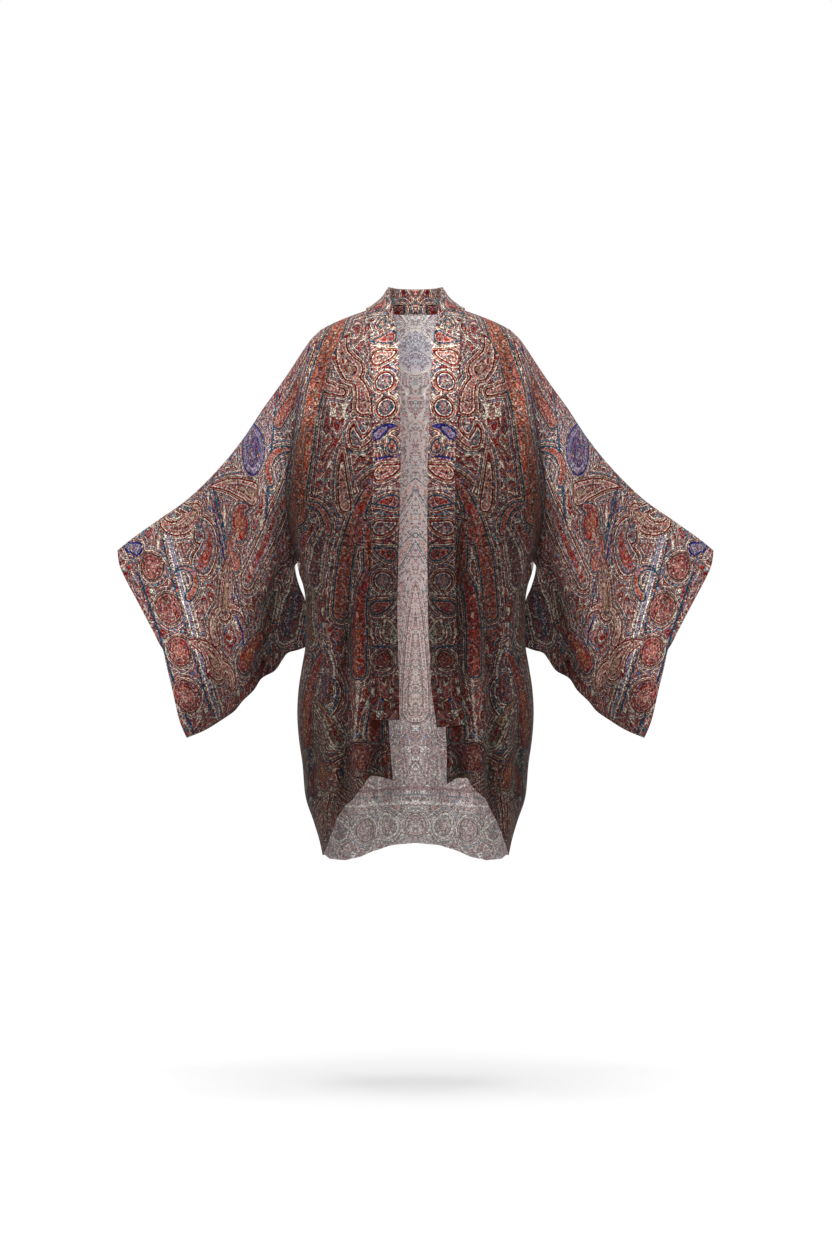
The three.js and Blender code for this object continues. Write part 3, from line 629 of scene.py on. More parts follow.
def seams_of(made):
    """The sewn edges, in pairs"""
    middle = FINE_NECK + FINE_FRONT
    pairs = []
    for name, sign in (("right", -1), ("left", 1)):
        front, back = made[f"front_{name}"], made["back"]
        sleeve_front, sleeve_back = made[f"sleeve_{name}_front"], made[f"sleeve_{name}_back"]
        start = middle + sign * FINE_NECK
        stop = None if sign < 0 else 2 * middle + 1
        outer = "first" if sign < 0 else "last"
        pairs += [
            ((front, "top"), (back, "top", start, stop, sign)),
            ((front, "last", 0, FINE_UP + 1), (sleeve_front, "first", 0, FINE_UP + 1)),
            ((back, outer, 0, FINE_UP + 1), (sleeve_back, "first", 0, FINE_UP + 1)),
            ((front, "last", FINE_UP + 5, None), (back, outer, FINE_UP + 5, None)),
            ((sleeve_front, "top"), (sleeve_back, "top")),
            ((sleeve_front, "bottom"), (sleeve_back, "bottom")),
        ]
    return pairs


def path_on_panel(points, normals, seam_x, lift):
    """Where the band's seam crosses a row of a front, and on to the front edge, moved out."""
    x = np.abs(points[:, 0])
    inside = int(np.argmax(x > seam_x))
    near, far = max(inside - 1, 0), max(inside, 1)
    share = np.clip((seam_x - x[near]) / (x[far] - x[near]), 0, 1)
    seam = lerp(points[near], points[far], share)
    normal = lerp(normals[near], normals[far], share)
    upto = max(inside, 1)
    path = np.vstack([seam, points[:upto][::-1]])
    out = np.vstack([normal, normals[:upto][::-1]])
    return path + out * lift


def hollow_path(on_panel, top, hollow):
    middle = (on_panel[-1] + top) / 2
    out = unit(np.array([middle[0], middle[1], 0]))
    middle = middle - out * hollow - np.array([0, 0, hollow / 2])
    return np.vstack([on_panel, middle, top])


# Shares across the band, closer at its two folded edges
BAND_RIM = [0, 0.008, 0.022, 0.045]
BAND_SHARES = np.concatenate([BAND_RIM, np.linspace(0.075, 0.925, 21), [0.955, 0.978, 0.992, 1]])


def station(path):
    kept = [path[0]]
    for p in path[1:]:
        if np.linalg.norm(p - kept[-1]) > 2.5:
            kept.append(p)
    return curve_through(kept)(BAND_SHARES)


def front_stations(front, panel):
    surface = front_surface(front)
    free_edge = [(-z, x) for x, z in front["band"]]
    last_height = front["band"][-1][1]
    reach = panel["p"][0, :, 2] - last_height
    last = int(np.argmax(reach < 0))

    def parts(j):
        points, normals = panel["p"][:, j], panel["n"][:, j]
        row = BODY_FINE[j]
        edge = points[0]
        free_x = look_up(free_edge, -edge[2])
        seam_x = max(free_x + BAND_WIDTH, abs(edge[0]) + NECK_LAP)
        lift = BAND_LIFT + COLLAR_LIFT * (1 - smooth(4, 7, row))
        on_panel = path_on_panel(points, normals, seam_x, lift)
        outer = outer_edge(np.array(row))
        s = (free_x - abs(edge[0])) / (outer[0] - abs(edge[0]))
        free, start = surface(np.array(s), np.array(row)), surface(np.array(0.0), np.array(row))
        return on_panel, free - start + on_panel[-1]

    whole_rows = [int(np.argmin(np.abs(BODY_FINE - r))) for r in (4, 5, 6)]
    tops = [np.array([front["side"] * x, y, z], float) for x, y, z in COLLAR_FRONT]
    tops += [parts(j)[1] for j in whole_rows]
    tops = np.array(tops)
    found = []
    for j in range(last):
        row = BODY_FINE[j]
        on_panel, free = parts(j)
        hollow = COLLAR_HOLLOW * (1 - smooth(3, 4.4, row))
        top = spline_at(tops, np.array(row / 6)) if row < 5 else free
        path = hollow_path(on_panel, top, hollow) if row < 4.4 else np.vstack([on_panel, top])
        found.append(station(path))
    share = reach[last - 1] / (reach[last - 1] - reach[last])
    found.append(found[-1] + (found[-1] - found[-2]) * share)
    return np.array(found)


def neck_stations(side, panel):
    middle = FINE_NECK + FINE_FRONT
    free_edge = curve_through([(side * x, y, z) for x, y, z in COLLAR_BACK])
    found = []
    for i in range(FINE_NECK):
        column, normal = panel["p"][middle + side * i], panel["n"][middle + side * i, 0]
        column = column[:12]
        low = np.array([np.interp(NECK_LAP, run_along(column), column[:, k]) for k in range(3)])
        on_panel = np.vstack([low, column[0]]) + normal * (BAND_LIFT + COLLAR_LIFT)
        found.append(station(hollow_path(on_panel, free_edge(i / FINE_NECK), COLLAR_HOLLOW)))
    return np.array(found)


def make_band(made):
    right = front_stations(FRONTS["right"], made["front_right"])
    left = front_stations(FRONTS["left"], made["front_left"])
    neck_right = neck_stations(-1, made["back"])[1:]
    neck_left = neck_stations(1, made["back"])
    return np.concatenate([right[::-1], neck_right[::-1], neck_left, left])


def runs(points, axis):
    """Length run along one way of a grid, from its start"""
    step = np.linalg.norm(np.diff(points, axis=axis), axis=-1)
    pad = [(0, 0), (0, 0)]
    pad[axis] = (1, 0)
    return np.cumsum(np.pad(step, pad), axis=axis)


def flat_places(points, level, centre_first):
    """Places on the flat cloth: u out from the jacket's middle, v is height at the given level."""
    across = runs(points, 0)
    if centre_first:
        u = across + np.abs(points[:1, :, 0])
    else:
        middle = points.shape[0] // 2
        u = np.abs(across - across[middle : middle + 1])
    down = runs(points, 1)
    at = np.argmin(np.abs(points[..., 2] - level), axis=1)
    start = np.take_along_axis(down, at[:, None], 1)
    height = np.take_along_axis(points[..., 2], at[:, None], 1)
    return np.stack([u, height - (down - start)], -1)


def drop_spine(row):
    """Circles along the bent middle of a paisley drop: x, z, radius"""
    x, z, length, radius, heading, turn, keep, _ = row
    share = np.linspace(0, 1, 18)
    angle = np.radians(heading + turn * (share**1.6 - 0.15))
    step = length / (len(share) - 1)
    px = x + np.concatenate([[0], np.cumsum(np.cos(angle[1:]) * step)])
    pz = z + np.concatenate([[0], np.cumsum(np.sin(angle[1:]) * step)])
    fall = np.clip(1 - share**keep, 0, 1) ** 0.8
    return np.stack([px, pz, 0.6 + radius * fall], -1)


def stripe_spine(row):
    x0, z0, x1, z1, half, _ = row
    share = np.linspace(0, 1, 12)
    return np.stack([lerp(x0, x1, share), lerp(z0, z1, share), np.full(12, half)], -1)


def print_field(flat, motifs, spine_of, lookup=None):
    """Distance to the nearest motif's edge, below 0 inside, and its style"""
    best = np.full(flat.shape[:2], float(FAR))
    style = np.zeros_like(best)
    for row in motifs:
        spine = spine_of(row)
        if lookup is not None:
            spine = lookup(spine)
        for near, far in zip(spine[:-1], spine[1:]):
            dx, dz = far[0] - near[0], far[1] - near[1]
            t = (flat[..., 0] - near[0]) * dx + (flat[..., 1] - near[1]) * dz
            t = np.clip(t / max(dx * dx + dz * dz, 1e-6), 0, 1)
            d = np.hypot(flat[..., 0] - near[0] - t * dx, flat[..., 1] - near[1] - t * dz)
            d = d - lerp(near[2], far[2], t)
            closer = d < best
            best[closer] = d[closer]
            style[closer] = row[-1]
    return best, style


def print_layers(flat, drops, stripes, lookup=None):
    """What the material reads of the print: distances d and styles k of drops, 1, and stripes, 2"""
    layers = {}
    for suffix, motifs, spine in (("1", drops, drop_spine), ("2", stripes, stripe_spine)):
        distance, style = print_field(flat, motifs, spine, lookup)
        layers.update({"d" + suffix: distance, "k" + suffix: style})
    return layers


def seen_from_front(seen, points, flat):
    """Moves what is placed as seen from the front on to the flat cloth."""
    seen, on_cloth = seen.reshape(-1, 2), flat.reshape(-1, 2)
    wide = np.abs(np.gradient(flat[..., 0], axis=0)) / np.maximum(
        np.abs(np.gradient(points[..., 0], axis=0)), 0.2
    )
    wide = np.clip(wide, 1, 1.8).ravel()

    def lookup(spine):
        found = spine.copy()
        for k in range(len(spine)):
            gap = np.hypot(seen[:, 0] - spine[k, 0], seen[:, 1] - spine[k, 1])
            near = int(np.argmin(gap))
            found[k, :2] = on_cloth[near] + (spine[k, :2] - seen[near])
            found[k, 2] = spine[k, 2] * wide[near] ** 0.7
        return found

    return lookup


def ground_of(x, z, patches):
    """Soft patches of the print's ground, each x, z, reach, colour name, blended: its tint and tone, the
    tone partly painted shade
    """
    total, weight = np.zeros(x.shape + (3,)), np.zeros(x.shape)
    for px, pz, reach, colour in patches:
        w = np.exp(-((x - px) ** 2 + (z - pz) ** 2) / reach**2) + 1e-5
        total += w[..., None] * np.array(PALETTE[colour])
        weight += w
    ground = total / weight[..., None]
    tone = ground.mean(axis=-1) / 0.2
    return np.concatenate([ground / tone[..., None], tone[..., None]], -1)


def placed(name, data):
    obj = bpy.data.objects.new(name, data)
    bpy.context.scene.collection.objects.link(obj)
    return obj


def shell(name, points, normals, half, layers, flat, ground, within=1.0):
    """A thin wall on a grid. layers are values of the grid's points that its materials read."""
    columns, rows = points.shape[:2]
    half = np.asarray(half)[..., None] * np.ones((columns, rows, 1))
    both = np.concatenate([(points + normals * half), (points - normals * half)]).reshape(-1, 3)
    n = columns * rows
    at = np.arange(n).reshape(columns, rows)
    a, b, c, d = at[:-1, :-1], at[:-1, 1:], at[1:, 1:], at[1:, :-1]
    outer = np.stack([a, b, c, d], -1).reshape(-1, 4)
    rim = np.concatenate([at[:, 0], at[-1, 1:], at[-2::-1, -1], at[0, -2:0:-1]])
    after = np.roll(rim, -1)
    quads = [outer, outer[:, ::-1] + n, np.stack([rim, after, after + n, rim + n], -1)]
    faces = np.concatenate(quads)
    p = both / 1000
    corner = p[outer[:, 0]], p[outer[:, 1]], p[outer[:, 3]]
    turn = np.cross(corner[1] - corner[0], corner[2] - corner[0])
    if np.sum(turn * normals[:-1, :-1].reshape(-1, 3)) < 0:
        faces = faces[:, ::-1]
    mesh = bpy.data.meshes.new(name)
    mesh.vertices.add(len(p))
    mesh.vertices.foreach_set("co", p.ravel())
    mesh.loops.add(faces.size)
    mesh.loops.foreach_set("vertex_index", faces.ravel())
    mesh.polygons.add(len(faces))
    mesh.polygons.foreach_set("loop_start", np.arange(0, faces.size, 4))
    mesh.polygons.foreach_set("loop_total", np.full(len(faces), 4))
    mesh.update(calc_edges=True)
    values = {key: np.tile(np.asarray(layer, float).ravel(), 2) for key, layer in layers.items()}
    values["inside"] = np.repeat([0.0, within], n)
    values["tone"] = np.tile(ground[..., 3].ravel(), 2)
    for key, numbers in values.items():
        mesh.attributes.new(key, "FLOAT", "POINT").data.foreach_set("value", numbers)
    rgba = np.concatenate([ground[..., :3].reshape(-1, 3), np.ones((n, 1))], 1)
    colour = mesh.attributes.new("ground", "FLOAT_COLOR", "POINT")
    colour.data.foreach_set("color", np.tile(rgba, (2, 1)).ravel())
    uv = mesh.uv_layers.new(name="cloth")
    places = np.tile(flat.reshape(-1, 2), (2, 1))[faces.ravel()] / 1000
    uv.data.foreach_set("uv", places.ravel())
    mesh.shade_smooth()
    mesh.validate()
    obj = placed(name, mesh)
    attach(obj, "root")
    return obj


panels = make_panels()
sewn = seams_of(panels)
for one, other in sewn:
    meet(one, other)
for panel in panels.values():
    panel["n"] = normals_of(panel["p"], panel["facing"])
for one, other in sewn:
    share_normals(one, other)
band = make_band(panels)
band_normals = normals_of(band, -1)


class Nodes:
    """Short calls that add and link shader nodes."""

    def __init__(self, material):
        material.use_nodes = True
        self.tree = material.node_tree
        self.tree.nodes.clear()

    def add(self, kind, inputs=(), **settings):
        node = self.tree.nodes.new("ShaderNode" + kind)
        for key, value in settings.items():
            setattr(node, key, value)
        items = inputs.items() if isinstance(inputs, dict) else enumerate(inputs)
        for key, value in items:
            if isinstance(value, bpy.types.NodeSocket):
                self.tree.links.new(value, node.inputs[key])
            else:
                node.inputs[key].default_value = value
        return node

    def math(self, operation, *values, clamp=False):
        return self.add("Math", values, operation=operation, use_clamp=clamp).outputs[0]

    def times(self, *values):
        return self.math("MULTIPLY", *values)

    def plus(self, *values):
        return self.math("ADD", *values)

    def vector(self, operation, *values):
        return self.add("VectorMath", values, operation=operation).outputs["Vector"]

    def value(self, name, output="Fac"):
        """What a mesh layer holds"""
        return self.add("Attribute", attribute_name=name).outputs[output]

    def mix(self, share, one, two, blend="MIX"):
        """A share of the second colour over the first, each a socket or three numbers"""
        first, second = (c if isinstance(c, bpy.types.NodeSocket) else (*c, 1) for c in (one, two))
        inputs = {0: share, 6: first, 7: second}
        return self.add("Mix", inputs, data_type="RGBA", blend_type=blend).outputs[2]

    def scaled(self, colour, value):
        """A colour times a value"""
        grey = self.add("CombineColor", [value, value, value]).outputs[0]
        return self.mix(1.0, colour, grey, "MULTIPLY")

    def tinted(self, colour, saturation, value=1.0):
        return self.add(
            "HueSaturation", {"Saturation": saturation, "Value": value, "Color": colour}
        ).outputs[0]

    def below(self, value, edge, soft=0.25):
        """1 where value is under edge, with a soft step"""
        return self.add(
            "MapRange", {0: value, 1: edge - soft, 2: edge + soft, 3: 1.0, 4: 0.0}, clamp=True
        ).outputs[0]

    def ramp(self, share, stops):
        """Steps of colour, each from its own share on"""
        node = self.add("ValToRGB", [share])
        node.color_ramp.interpolation = "CONSTANT"
        elements = node.color_ramp.elements
        while len(elements) > 1:
            elements.remove(elements[0])
        for k, (place, colour) in enumerate(stops):
            element = elements[0] if k == 0 else elements.new(place)
            element.position = place
            element.color = (*colour, 1)
        return node.outputs[0]

    def inks(self, share, stops):
        return self.ramp(share, [(at, INK[name]) for at, name in stops])


INK = {
    "ground": (0.2, 0.13, 0.12),
    "teal": (0.008, 0.05, 0.085),
    "sea": (0.05, 0.14, 0.19),
    "navy": (0.022, 0.03, 0.12),
    "black": (0.03, 0.02, 0.022),
    "dusk": (0.06, 0.035, 0.04),
    "wine": (0.13, 0.022, 0.026),
    "red": (0.26, 0.055, 0.048),
    "rust": (0.2, 0.085, 0.05),
    "clay": (0.38, 0.15, 0.1),
    "rose": (0.34, 0.16, 0.14),
    "pink": (0.42, 0.23, 0.2),
    "pale": (0.5, 0.43, 0.38),
    "white": (0.62, 0.59, 0.5),
    "sand": (0.36, 0.26, 0.19),
    "grey": (0.2, 0.21, 0.22),
    "blue": (0.12, 0.16, 0.26),
    "lilac": (0.26, 0.25, 0.35),
    "green": (0.1, 0.11, 0.07),
    "orange": (0.33, 0.13, 0.07),
    "coral": (0.36, 0.13, 0.095),
}
# For each style, the rings of a drop from its outline inwards, and its middle
STYLES = {
    ORANGE: ("teal", "sand", "coral", "clay", "coral", "rust"),
    RED: ("teal", "pink", "red", "wine", "red", "clay"),
    CREAM: ("wine", "white", "rose", "pale", "wine", "sand"),
    DARK: ("pale", "teal", "dusk", "wine", "dusk", "teal"),
    GREY: ("wine", "white", "teal", "rose", "grey", "red"),
    OLIVE: ("pale", "dusk", "green", "sand", "wine", "clay"),
    NAVY: ("navy", "navy", "blue", "navy", "lilac", "navy"),
    RINGS: ("dusk", "pink", "wine", "rose", "wine", "rose"),
    LILAC: ("white", "blue", "lilac", "blue", "lilac", "blue"),
    ROSE: ("teal", "pink", "coral", "red", "rose", "clay"),
}
# Depths at which the rings begin, as shares of their reach
RING_SHARES = (0.0, 0.2, 0.2875, 0.5625, 0.675, 0.925)
# How much of the print between the drops shows in their middles, and from what depth
FILL_GROUND, FILL_DEPTH = 0.42, 4.2
# What flows round a drop, band after band: distance out in mm, ink, how strongly it shows
FLOW = [
    (0.0, "sand", 0.7), (1.4, "dusk", 0.8), (2.4, "ground", 0), (3.8, "white", 0.85), (5.0, "wine", 0.9),
    (6.4, "ground", 0), (8.2, "sea", 0.9), (9.6, "ground", 0), (11.2, "white", 0.8), (12.2, "wine", 0.9),
    (13.4, "ground", 0),
]
# Nested lines between the drops: share of a line's pitch, ink, how strongly it shows
NESTED = [
    (0.0, "ground", 0), (0.16, "white", 0.9), (0.28, "wine", 0.9), (0.4, "ground", 0), (0.5, "wine", 0.95),
    (0.62, "red", 0.6), (0.76, "sea", 0.95), (0.88, "ground", 0),
]
# Small flowers: pitch in mm, radii of core, petals and outline, share of the cells that have one
GROUND_FLOWERS = [(8.0, (0.8, 1.8, 2.3), 0.4), (21.0, (1.5, 4.2, 5.0), 0.3)]
DROP_FLOWERS = (9.0, (0.8, 1.6, 2.2), 0.3)
# The print's slow wobble: the scale of its noise, and how far in mm it bends places and edges
WOBBLE_SCALE, WOBBLE_REACH, RAGGED_EDGE = 0.11, 5.0, 1.8
# Nested leaves: the scale of their noise across and down the cloth, and the levels drawn in it
LEAF_ACROSS, LEAF_DOWN, LEAF_LEVELS = 0.024, 0.011, 8.5
# How light the grains of the weave are, by chance: power, spread and least
GRAIN_LIGHT = (1.5, 2.1, 0.19)
# Inks of the small flowers' petals and cores, by chance
PETALS = [
    (0.0, "white"), (0.2, "pink"), (0.34, "red"), (0.48, "grey"), (0.6, "orange"), (0.72, "white"),
    (0.86, "blue"),
]
CORES = [(0.0, "wine"), (0.35, "navy"), (0.6, "sand"), (0.8, "red")]
# How strongly the grains show an ink of their own, and those inks by chance
SPECK_SHARE = 0.13
SPECKS = [(0.0, "teal"), (0.18, "wine"), (0.42, "sand"), (0.6, "black"), (0.8, "white"), (0.92, "red")]
# Saturation and value of the whole print, then what turns it into the paler inside
PRINT_TINT = (1.28, 1.1)
INSIDE_SATURATION, INSIDE_GAMMA = 0.58, 0.65
INSIDE_PLAIN, PLAIN_CLOTH = 0.1, (0.8, 0.8, 0.8)
# Relief of the cloth in metres, and the shares of it that each kind of detail rises or sinks
RELIEF = 0.0006
WEAVE_RISE, SEAM_RISE, HEM_RISE, STITCH_RISE, UNEVEN_RISE = 0.35, -4.0, 1.6, -1.5, 1.2
# Seams, hems and the line of the hems' stitches, in mm, and how closely threads and stitches lie
SEAM_WIDTH, HEM_DEPTH, STITCH_LINE = 1.2, 13.0, 11.0
THREAD_SCALE, STITCH_PACE = 0.35, 1.6


def rings_of(n, style, depth):
    """Colours of a motif by depth from its outline, as a share of the rings' reach"""
    return n.inks(depth, zip(RING_SHARES, STYLES[style]))


def lines_over(n, under, distance, reach, rows):
    """Lines of ink at stated distances, over what is under them"""
    share = n.math("DIVIDE", distance, reach, clamp=True)
    lines = n.inks(share, [(at / reach, ink) for at, ink, _ in rows])
    strength = n.ramp(share, [(at / reach, (shows, shows, shows)) for at, _, shows in rows])
    return n.mix(n.add("SeparateColor", [strength]).outputs[0], under, lines)


def scattered_flowers(n, place, under, pitch, sizes, keep):
    """Small flowers in random cells: a core, petals and an outline over the ground"""
    scaled = n.vector("MULTIPLY", place, (1 / pitch, 1 / pitch, 0.0))
    cell = n.add("TexVoronoi", {"Vector": scaled, "Scale": 1.0, "Randomness": 0.85})
    cell.voronoi_dimensions = "2D"
    centre = n.vector("SUBTRACT", scaled, cell.outputs["Position"])
    split = n.add("SeparateXYZ", [centre])
    angle = n.math("ARCTAN2", split.outputs[1], split.outputs[0])
    chance = n.add("SeparateColor", [cell.outputs["Color"]])
    petals = n.math("COSINE", n.times(angle, 6.0))
    away = n.times(cell.outputs["Distance"], pitch)
    away = n.times(away, n.math("MULTIPLY_ADD", petals, 0.2, 1.0))
    lost = n.times(n.math("LESS_THAN", chance.outputs[2], 1 - keep), float(FAR))
    away = n.plus(away, lost)
    petal, core = n.inks(chance.outputs[0], PETALS), n.inks(chance.outputs[1], CORES)
    core_size, petal_size, outline_size = sizes
    shown = n.mix(n.below(away, outline_size), under, INK["black"])
    shown = n.mix(n.below(away, petal_size), shown, petal)
    return n.mix(n.below(away, core_size), shown, core)


def paisley(name):
    material = bpy.data.materials.new(name)
    n = Nodes(material)
    uv = n.add("UVMap", uv_map="cloth").outputs[0]
    place = n.vector("MULTIPLY", uv, (1000.0, 1000.0, 0.0))
    slow = {"Vector": place, "Scale": WOBBLE_SCALE, "Detail": 2.0}
    wobble = n.add("TexNoise", slow, noise_dimensions="2D")
    shift = n.vector("SUBTRACT", wobble.outputs["Color"], (0.5, 0.5, 0.5))
    bent = n.vector("MULTIPLY_ADD", shift, (WOBBLE_REACH, WOBBLE_REACH, 0.0), place)

    # Lines where a slow noise, longer down the cloth, crosses levels, like the edges of nested leaves
    leaves = n.vector("MULTIPLY", bent, (LEAF_ACROSS, LEAF_DOWN, 0.0))
    leaves = n.add("TexNoise", {"Vector": leaves, "Scale": 1.0, "Detail": 1.2}, noise_dimensions="2D")
    level = n.math("FRACT", n.times(leaves.outputs[0], LEAF_LEVELS))
    bare = lines_over(n, n.value("ground", "Color"), level, 1.0, NESTED)
    for flowers in GROUND_FLOWERS:
        bare = scattered_flowers(n, bent, bare, *flowers)

    # Stripes, then drops with their outlines over them
    ragged = n.times(n.math("SUBTRACT", wobble.outputs[0], 0.5), RAGGED_EDGE)
    distance = n.plus(n.value("d1"), ragged)
    printed = bare
    bare = lines_over(n, bare, distance, RING_REACH, FLOW)
    for keys in (("d2", "k2"), ("d1", "k1")):
        distance, style = n.plus(n.value(keys[0]), ragged), n.value(keys[1])
        depth = n.math("DIVIDE", n.times(distance, -1.0), RING_REACH, clamp=True)
        inner = rings_of(n, ORANGE, depth)
        for k in list(STYLES)[1:]:
            inner = n.mix(n.math("COMPARE", style, float(k), 0.5), inner, rings_of(n, k, depth))
        inside = n.mix(FILL_GROUND, inner, printed)
        inner = n.mix(n.below(distance, -FILL_DEPTH, 0.2), inner, inside)
        inner = scattered_flowers(n, bent, inner, *DROP_FLOWERS)
        bare = n.mix(n.below(distance, 0.0, 0.2), bare, inner)

    # The coarse weave breaks the print up into grains, light and dark and in its other inks
    grain = n.add("TexVoronoi", {"Vector": place, "Scale": 0.5}, voronoi_dimensions="2D")
    chance = n.add("SeparateColor", [grain.outputs["Color"]])
    speck = n.inks(chance.outputs[1], SPECKS)
    bare = n.mix(SPECK_SHARE, bare, speck)
    power, spread, least = GRAIN_LIGHT
    level = n.math("MULTIPLY_ADD", n.math("POWER", chance.outputs[0], power), spread, least)
    bare = n.tinted(n.scaled(bare, level), *PRINT_TINT)
    # The inside shows the print paler, through the cloth, brightened and darkened by depth and by fold as
    # painted light and shade
    worn = n.add("Gamma", {0: n.tinted(bare, INSIDE_SATURATION), 1: INSIDE_GAMMA}).outputs[0]
    worn = n.scaled(n.mix(INSIDE_PLAIN, worn, PLAIN_CLOTH), n.value("glow"))
    # The tone scales the outside's print: the ground patches' tone, partly painted shade, times the folds'
    # painted shade
    shown = n.mix(n.value("inside"), n.scaled(bare, n.value("tone")), worn)

    # Weave, seams and stitched hems as relief
    thread = {"Vector": place, "Scale": THREAD_SCALE, "Distortion": 0.4}
    warp, weft = (n.add("TexWave", thread, bands_direction=way).outputs["Fac"] for way in "XY")
    weave = n.plus(warp, weft)
    seam = n.times(n.below(n.value("seam"), SEAM_WIDTH, 1.0), SEAM_RISE)
    hem = n.times(n.below(n.value("hem"), HEM_DEPTH, 0.8), HEM_RISE)
    split = n.add("SeparateXYZ", [place])
    dash = n.math("GREATER_THAN", n.math("SINE", n.times(split.outputs[0], STITCH_PACE)), -0.4)
    near = n.math("ABSOLUTE", n.math("SUBTRACT", n.value("hem"), STITCH_LINE))
    stitch = n.times(n.times(n.below(near, 0.6, 0.4), dash), STITCH_RISE)
    uneven = n.times(wobble.outputs[0], UNEVEN_RISE)
    height = n.plus(n.times(weave, WEAVE_RISE), n.plus(seam, hem))
    height = n.plus(height, n.plus(stitch, uneven))
    bump = n.add("Bump", {"Height": height, "Strength": 0.5, "Distance": RELIEF})
    shade = n.add(
        "BsdfPrincipled",
        {
            "Base Color": shown, "Normal": bump.outputs[0], "Roughness": 0.9,
            "Specular IOR Level": 0.1, "Sheen Weight": 0.03, "Sheen Roughness": 0.5,
        },
    )
    n.add("OutputMaterial", {0: shade.outputs[0]})
    return material


def edge_runs(points):
    across, down = runs(points, 0), runs(points, 1)
    return {
        "first": across,
        "last": across[-1:] - across,
        "top": down,
        "bottom": down[:, -1:] - down,
    }


def edge_distances(kind, points):
    """How far the nearest seam and the nearest hem lie, over a panel"""
    far = edge_runs(points)
    if kind == "back":
        return np.minimum(far["first"], far["last"]), far["bottom"]
    if kind == "front":
        return np.minimum(far["last"], far["top"]), far["bottom"]
    free = np.arange(points.shape[1])[None, :] > FINE_UP
    seam = np.minimum(np.where(free, FAR, far["first"]), far["bottom"])
    return seam, np.minimum(far["last"], np.where(free, far["first"], FAR))


def dressed(name, panel):
    """Flat places and the print's fields for a panel"""
    points = panel["p"]
    kind = name.split("_")[0]
    drops, stripes, patches = PRINTS[kind]
    flat = flat_places(points, SLEEVE_LEVEL if kind == "sleeve" else BODY_LEVEL, kind != "back")
    seen, lookup = flat, None
    if kind != "back":
        seen = np.stack([np.abs(points[..., 0]), points[..., 2]], -1)
        lookup = seen_from_front(seen, points, flat)
    layers = print_layers(flat, drops, stripes, lookup)
    layers["seam"], layers["hem"] = edge_distances(kind, points)
    ground = ground_of(seen[..., 0], seen[..., 1], patches)
    height = fold_height("back" if name.endswith("back") else "front", points[..., 0], points[..., 2])
    # Painted shade of the folds: raised folds lighten the outside's tone and sunk folds darken it
    ground[..., 3] *= np.clip(1 + FOLD_PAINTED_SHADE * height, 0.52, 1.3)
    # Painted light and shade on the inside by depth, with painted shade where its folds rise
    layers["glow"] = look_up(INSIDE_PAINTED_LIGHT, -points[..., 2]) * np.clip(1 - FOLD_INSIDE_PAINTED_SHADE * height, 0.8, 1.1)
    return flat, layers, ground


cloth = paisley("printed_cloth")
pieces = {}
for name, panel in panels.items():
    flat, layers, ground = dressed(name, panel)
    pieces[name] = shell(name, panel["p"], panel["n"], SKIN, layers, flat, ground)

edge = np.minimum(BAND_SHARES, 1 - BAND_SHARES) / BAND_ROUND
band_half = np.broadcast_to(BAND_SKIN * np.sqrt(1 - (1 - np.clip(edge, 0.08, 1)) ** 2), band.shape[:2])
across = runs(band, 1)
length = runs(band, 0).mean(axis=1, keepdims=True) * np.ones_like(across)
back_middle = int(np.argmax(band[:, 0, 0] > -1))
from_neck = BAND_TOP - np.abs(length - length[back_middle])
flat = np.stack([across, from_neck], -1)
layers = print_layers(flat, BAND_DROPS, BAND_STRIPES)
layers["seam"] = np.full_like(across, FAR)
layers["hem"] = across + BAND_HEM
layers["glow"] = np.ones_like(across)
ground = ground_of(across, from_neck, BAND_PATCHES)
pieces["neckband"] = shell("neckband", band, band_normals, band_half, layers, flat, ground, 0.0)
for name, piece in pieces.items():
    width, length, area = CUT[name.replace("_right", "").replace("_left", "")]
    piece.name = "cloth_" + name
    piece.data.materials.append(cloth)
    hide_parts(name)


FLOOR, FLOOR_REACH = -1.353, 90
SUN_POWER, SUN_WIDTH, SUN_TILT = 1.4, 24, 3
LAMP_PLACE, LAMP_TARGET = (-0.9, -3.9, 0.5), (0, 0, -0.5)
LAMP_SIZE, LAMP_POWER = 2.2, 60
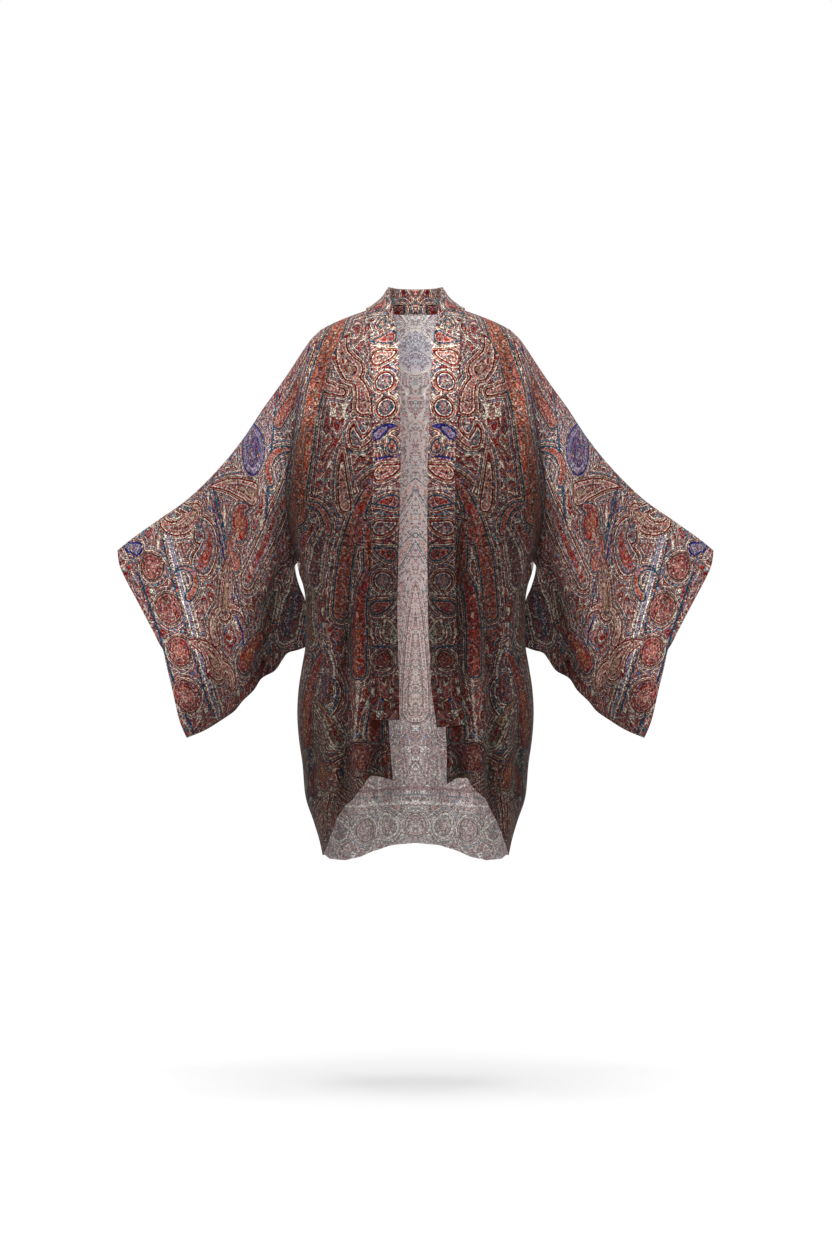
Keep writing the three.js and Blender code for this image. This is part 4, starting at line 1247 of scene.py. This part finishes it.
# The camera looks level at the garment's middle and sees this height there
CAMERA_ASIDE, CAMERA_AWAY, CAMERA_HEIGHT = 0.0009, 4.0, -0.546
VIEW_HEIGHT, SENSOR = 2.184, 36


def make_floor():
    corners = [(-1, -1), (1, -1), (1, 1), (-1, 1)]
    mesh = bpy.data.meshes.new("floor")
    mesh.from_pydata([(x * FLOOR_REACH, y * FLOOR_REACH, FLOOR) for x, y in corners], [], [(0, 1, 2, 3)])
    pale = bpy.data.materials.new("pale_floor")
    pale.use_nodes = True
    shade = pale.node_tree.nodes["Principled BSDF"].inputs
    shade["Base Color"].default_value = (0.7, 0.7, 0.7, 1)
    shade["Roughness"].default_value = 1.0
    shade["Specular IOR Level"].default_value = 0.0
    mesh.materials.append(pale)
    return placed("floor", mesh)


def make_sun():
    light = bpy.data.lights.new("top_light", "SUN")
    light.energy = SUN_POWER
    light.angle = math.radians(SUN_WIDTH)
    obj = placed("top_light", light)
    obj.rotation_euler = (math.radians(SUN_TILT), 0, 0)
    return obj


def make_lamp():
    light = bpy.data.lights.new("front_light", "AREA")
    light.shape = "RECTANGLE"
    light.size = light.size_y = LAMP_SIZE
    light.energy = LAMP_POWER
    obj = placed("front_light", light)
    obj.location = LAMP_PLACE
    away = Vector(LAMP_PLACE) - Vector(LAMP_TARGET)
    obj.rotation_euler = away.to_track_quat("Z", "Y").to_euler()
    return obj


world = bpy.data.worlds.new("studio")
bpy.context.scene.world = world
world.use_nodes = True
sky = world.node_tree.nodes["Background"].inputs
sky[0].default_value = (1, 1, 1, 1)
sky[1].default_value = 1.0
make_floor()
make_sun()
make_lamp()

lens = bpy.data.cameras.new("camera")
lens.sensor_fit = "VERTICAL"
lens.sensor_height = SENSOR
lens.lens = SENSOR * CAMERA_AWAY / VIEW_HEIGHT
camera = placed("camera", lens)
camera.location = (CAMERA_ASIDE, -CAMERA_AWAY, CAMERA_HEIGHT)
camera.rotation_euler = (math.pi / 2, 0, 0)
bpy.context.scene.camera = camera
bpy.context.scene.view_settings.view_transform = "Standard"
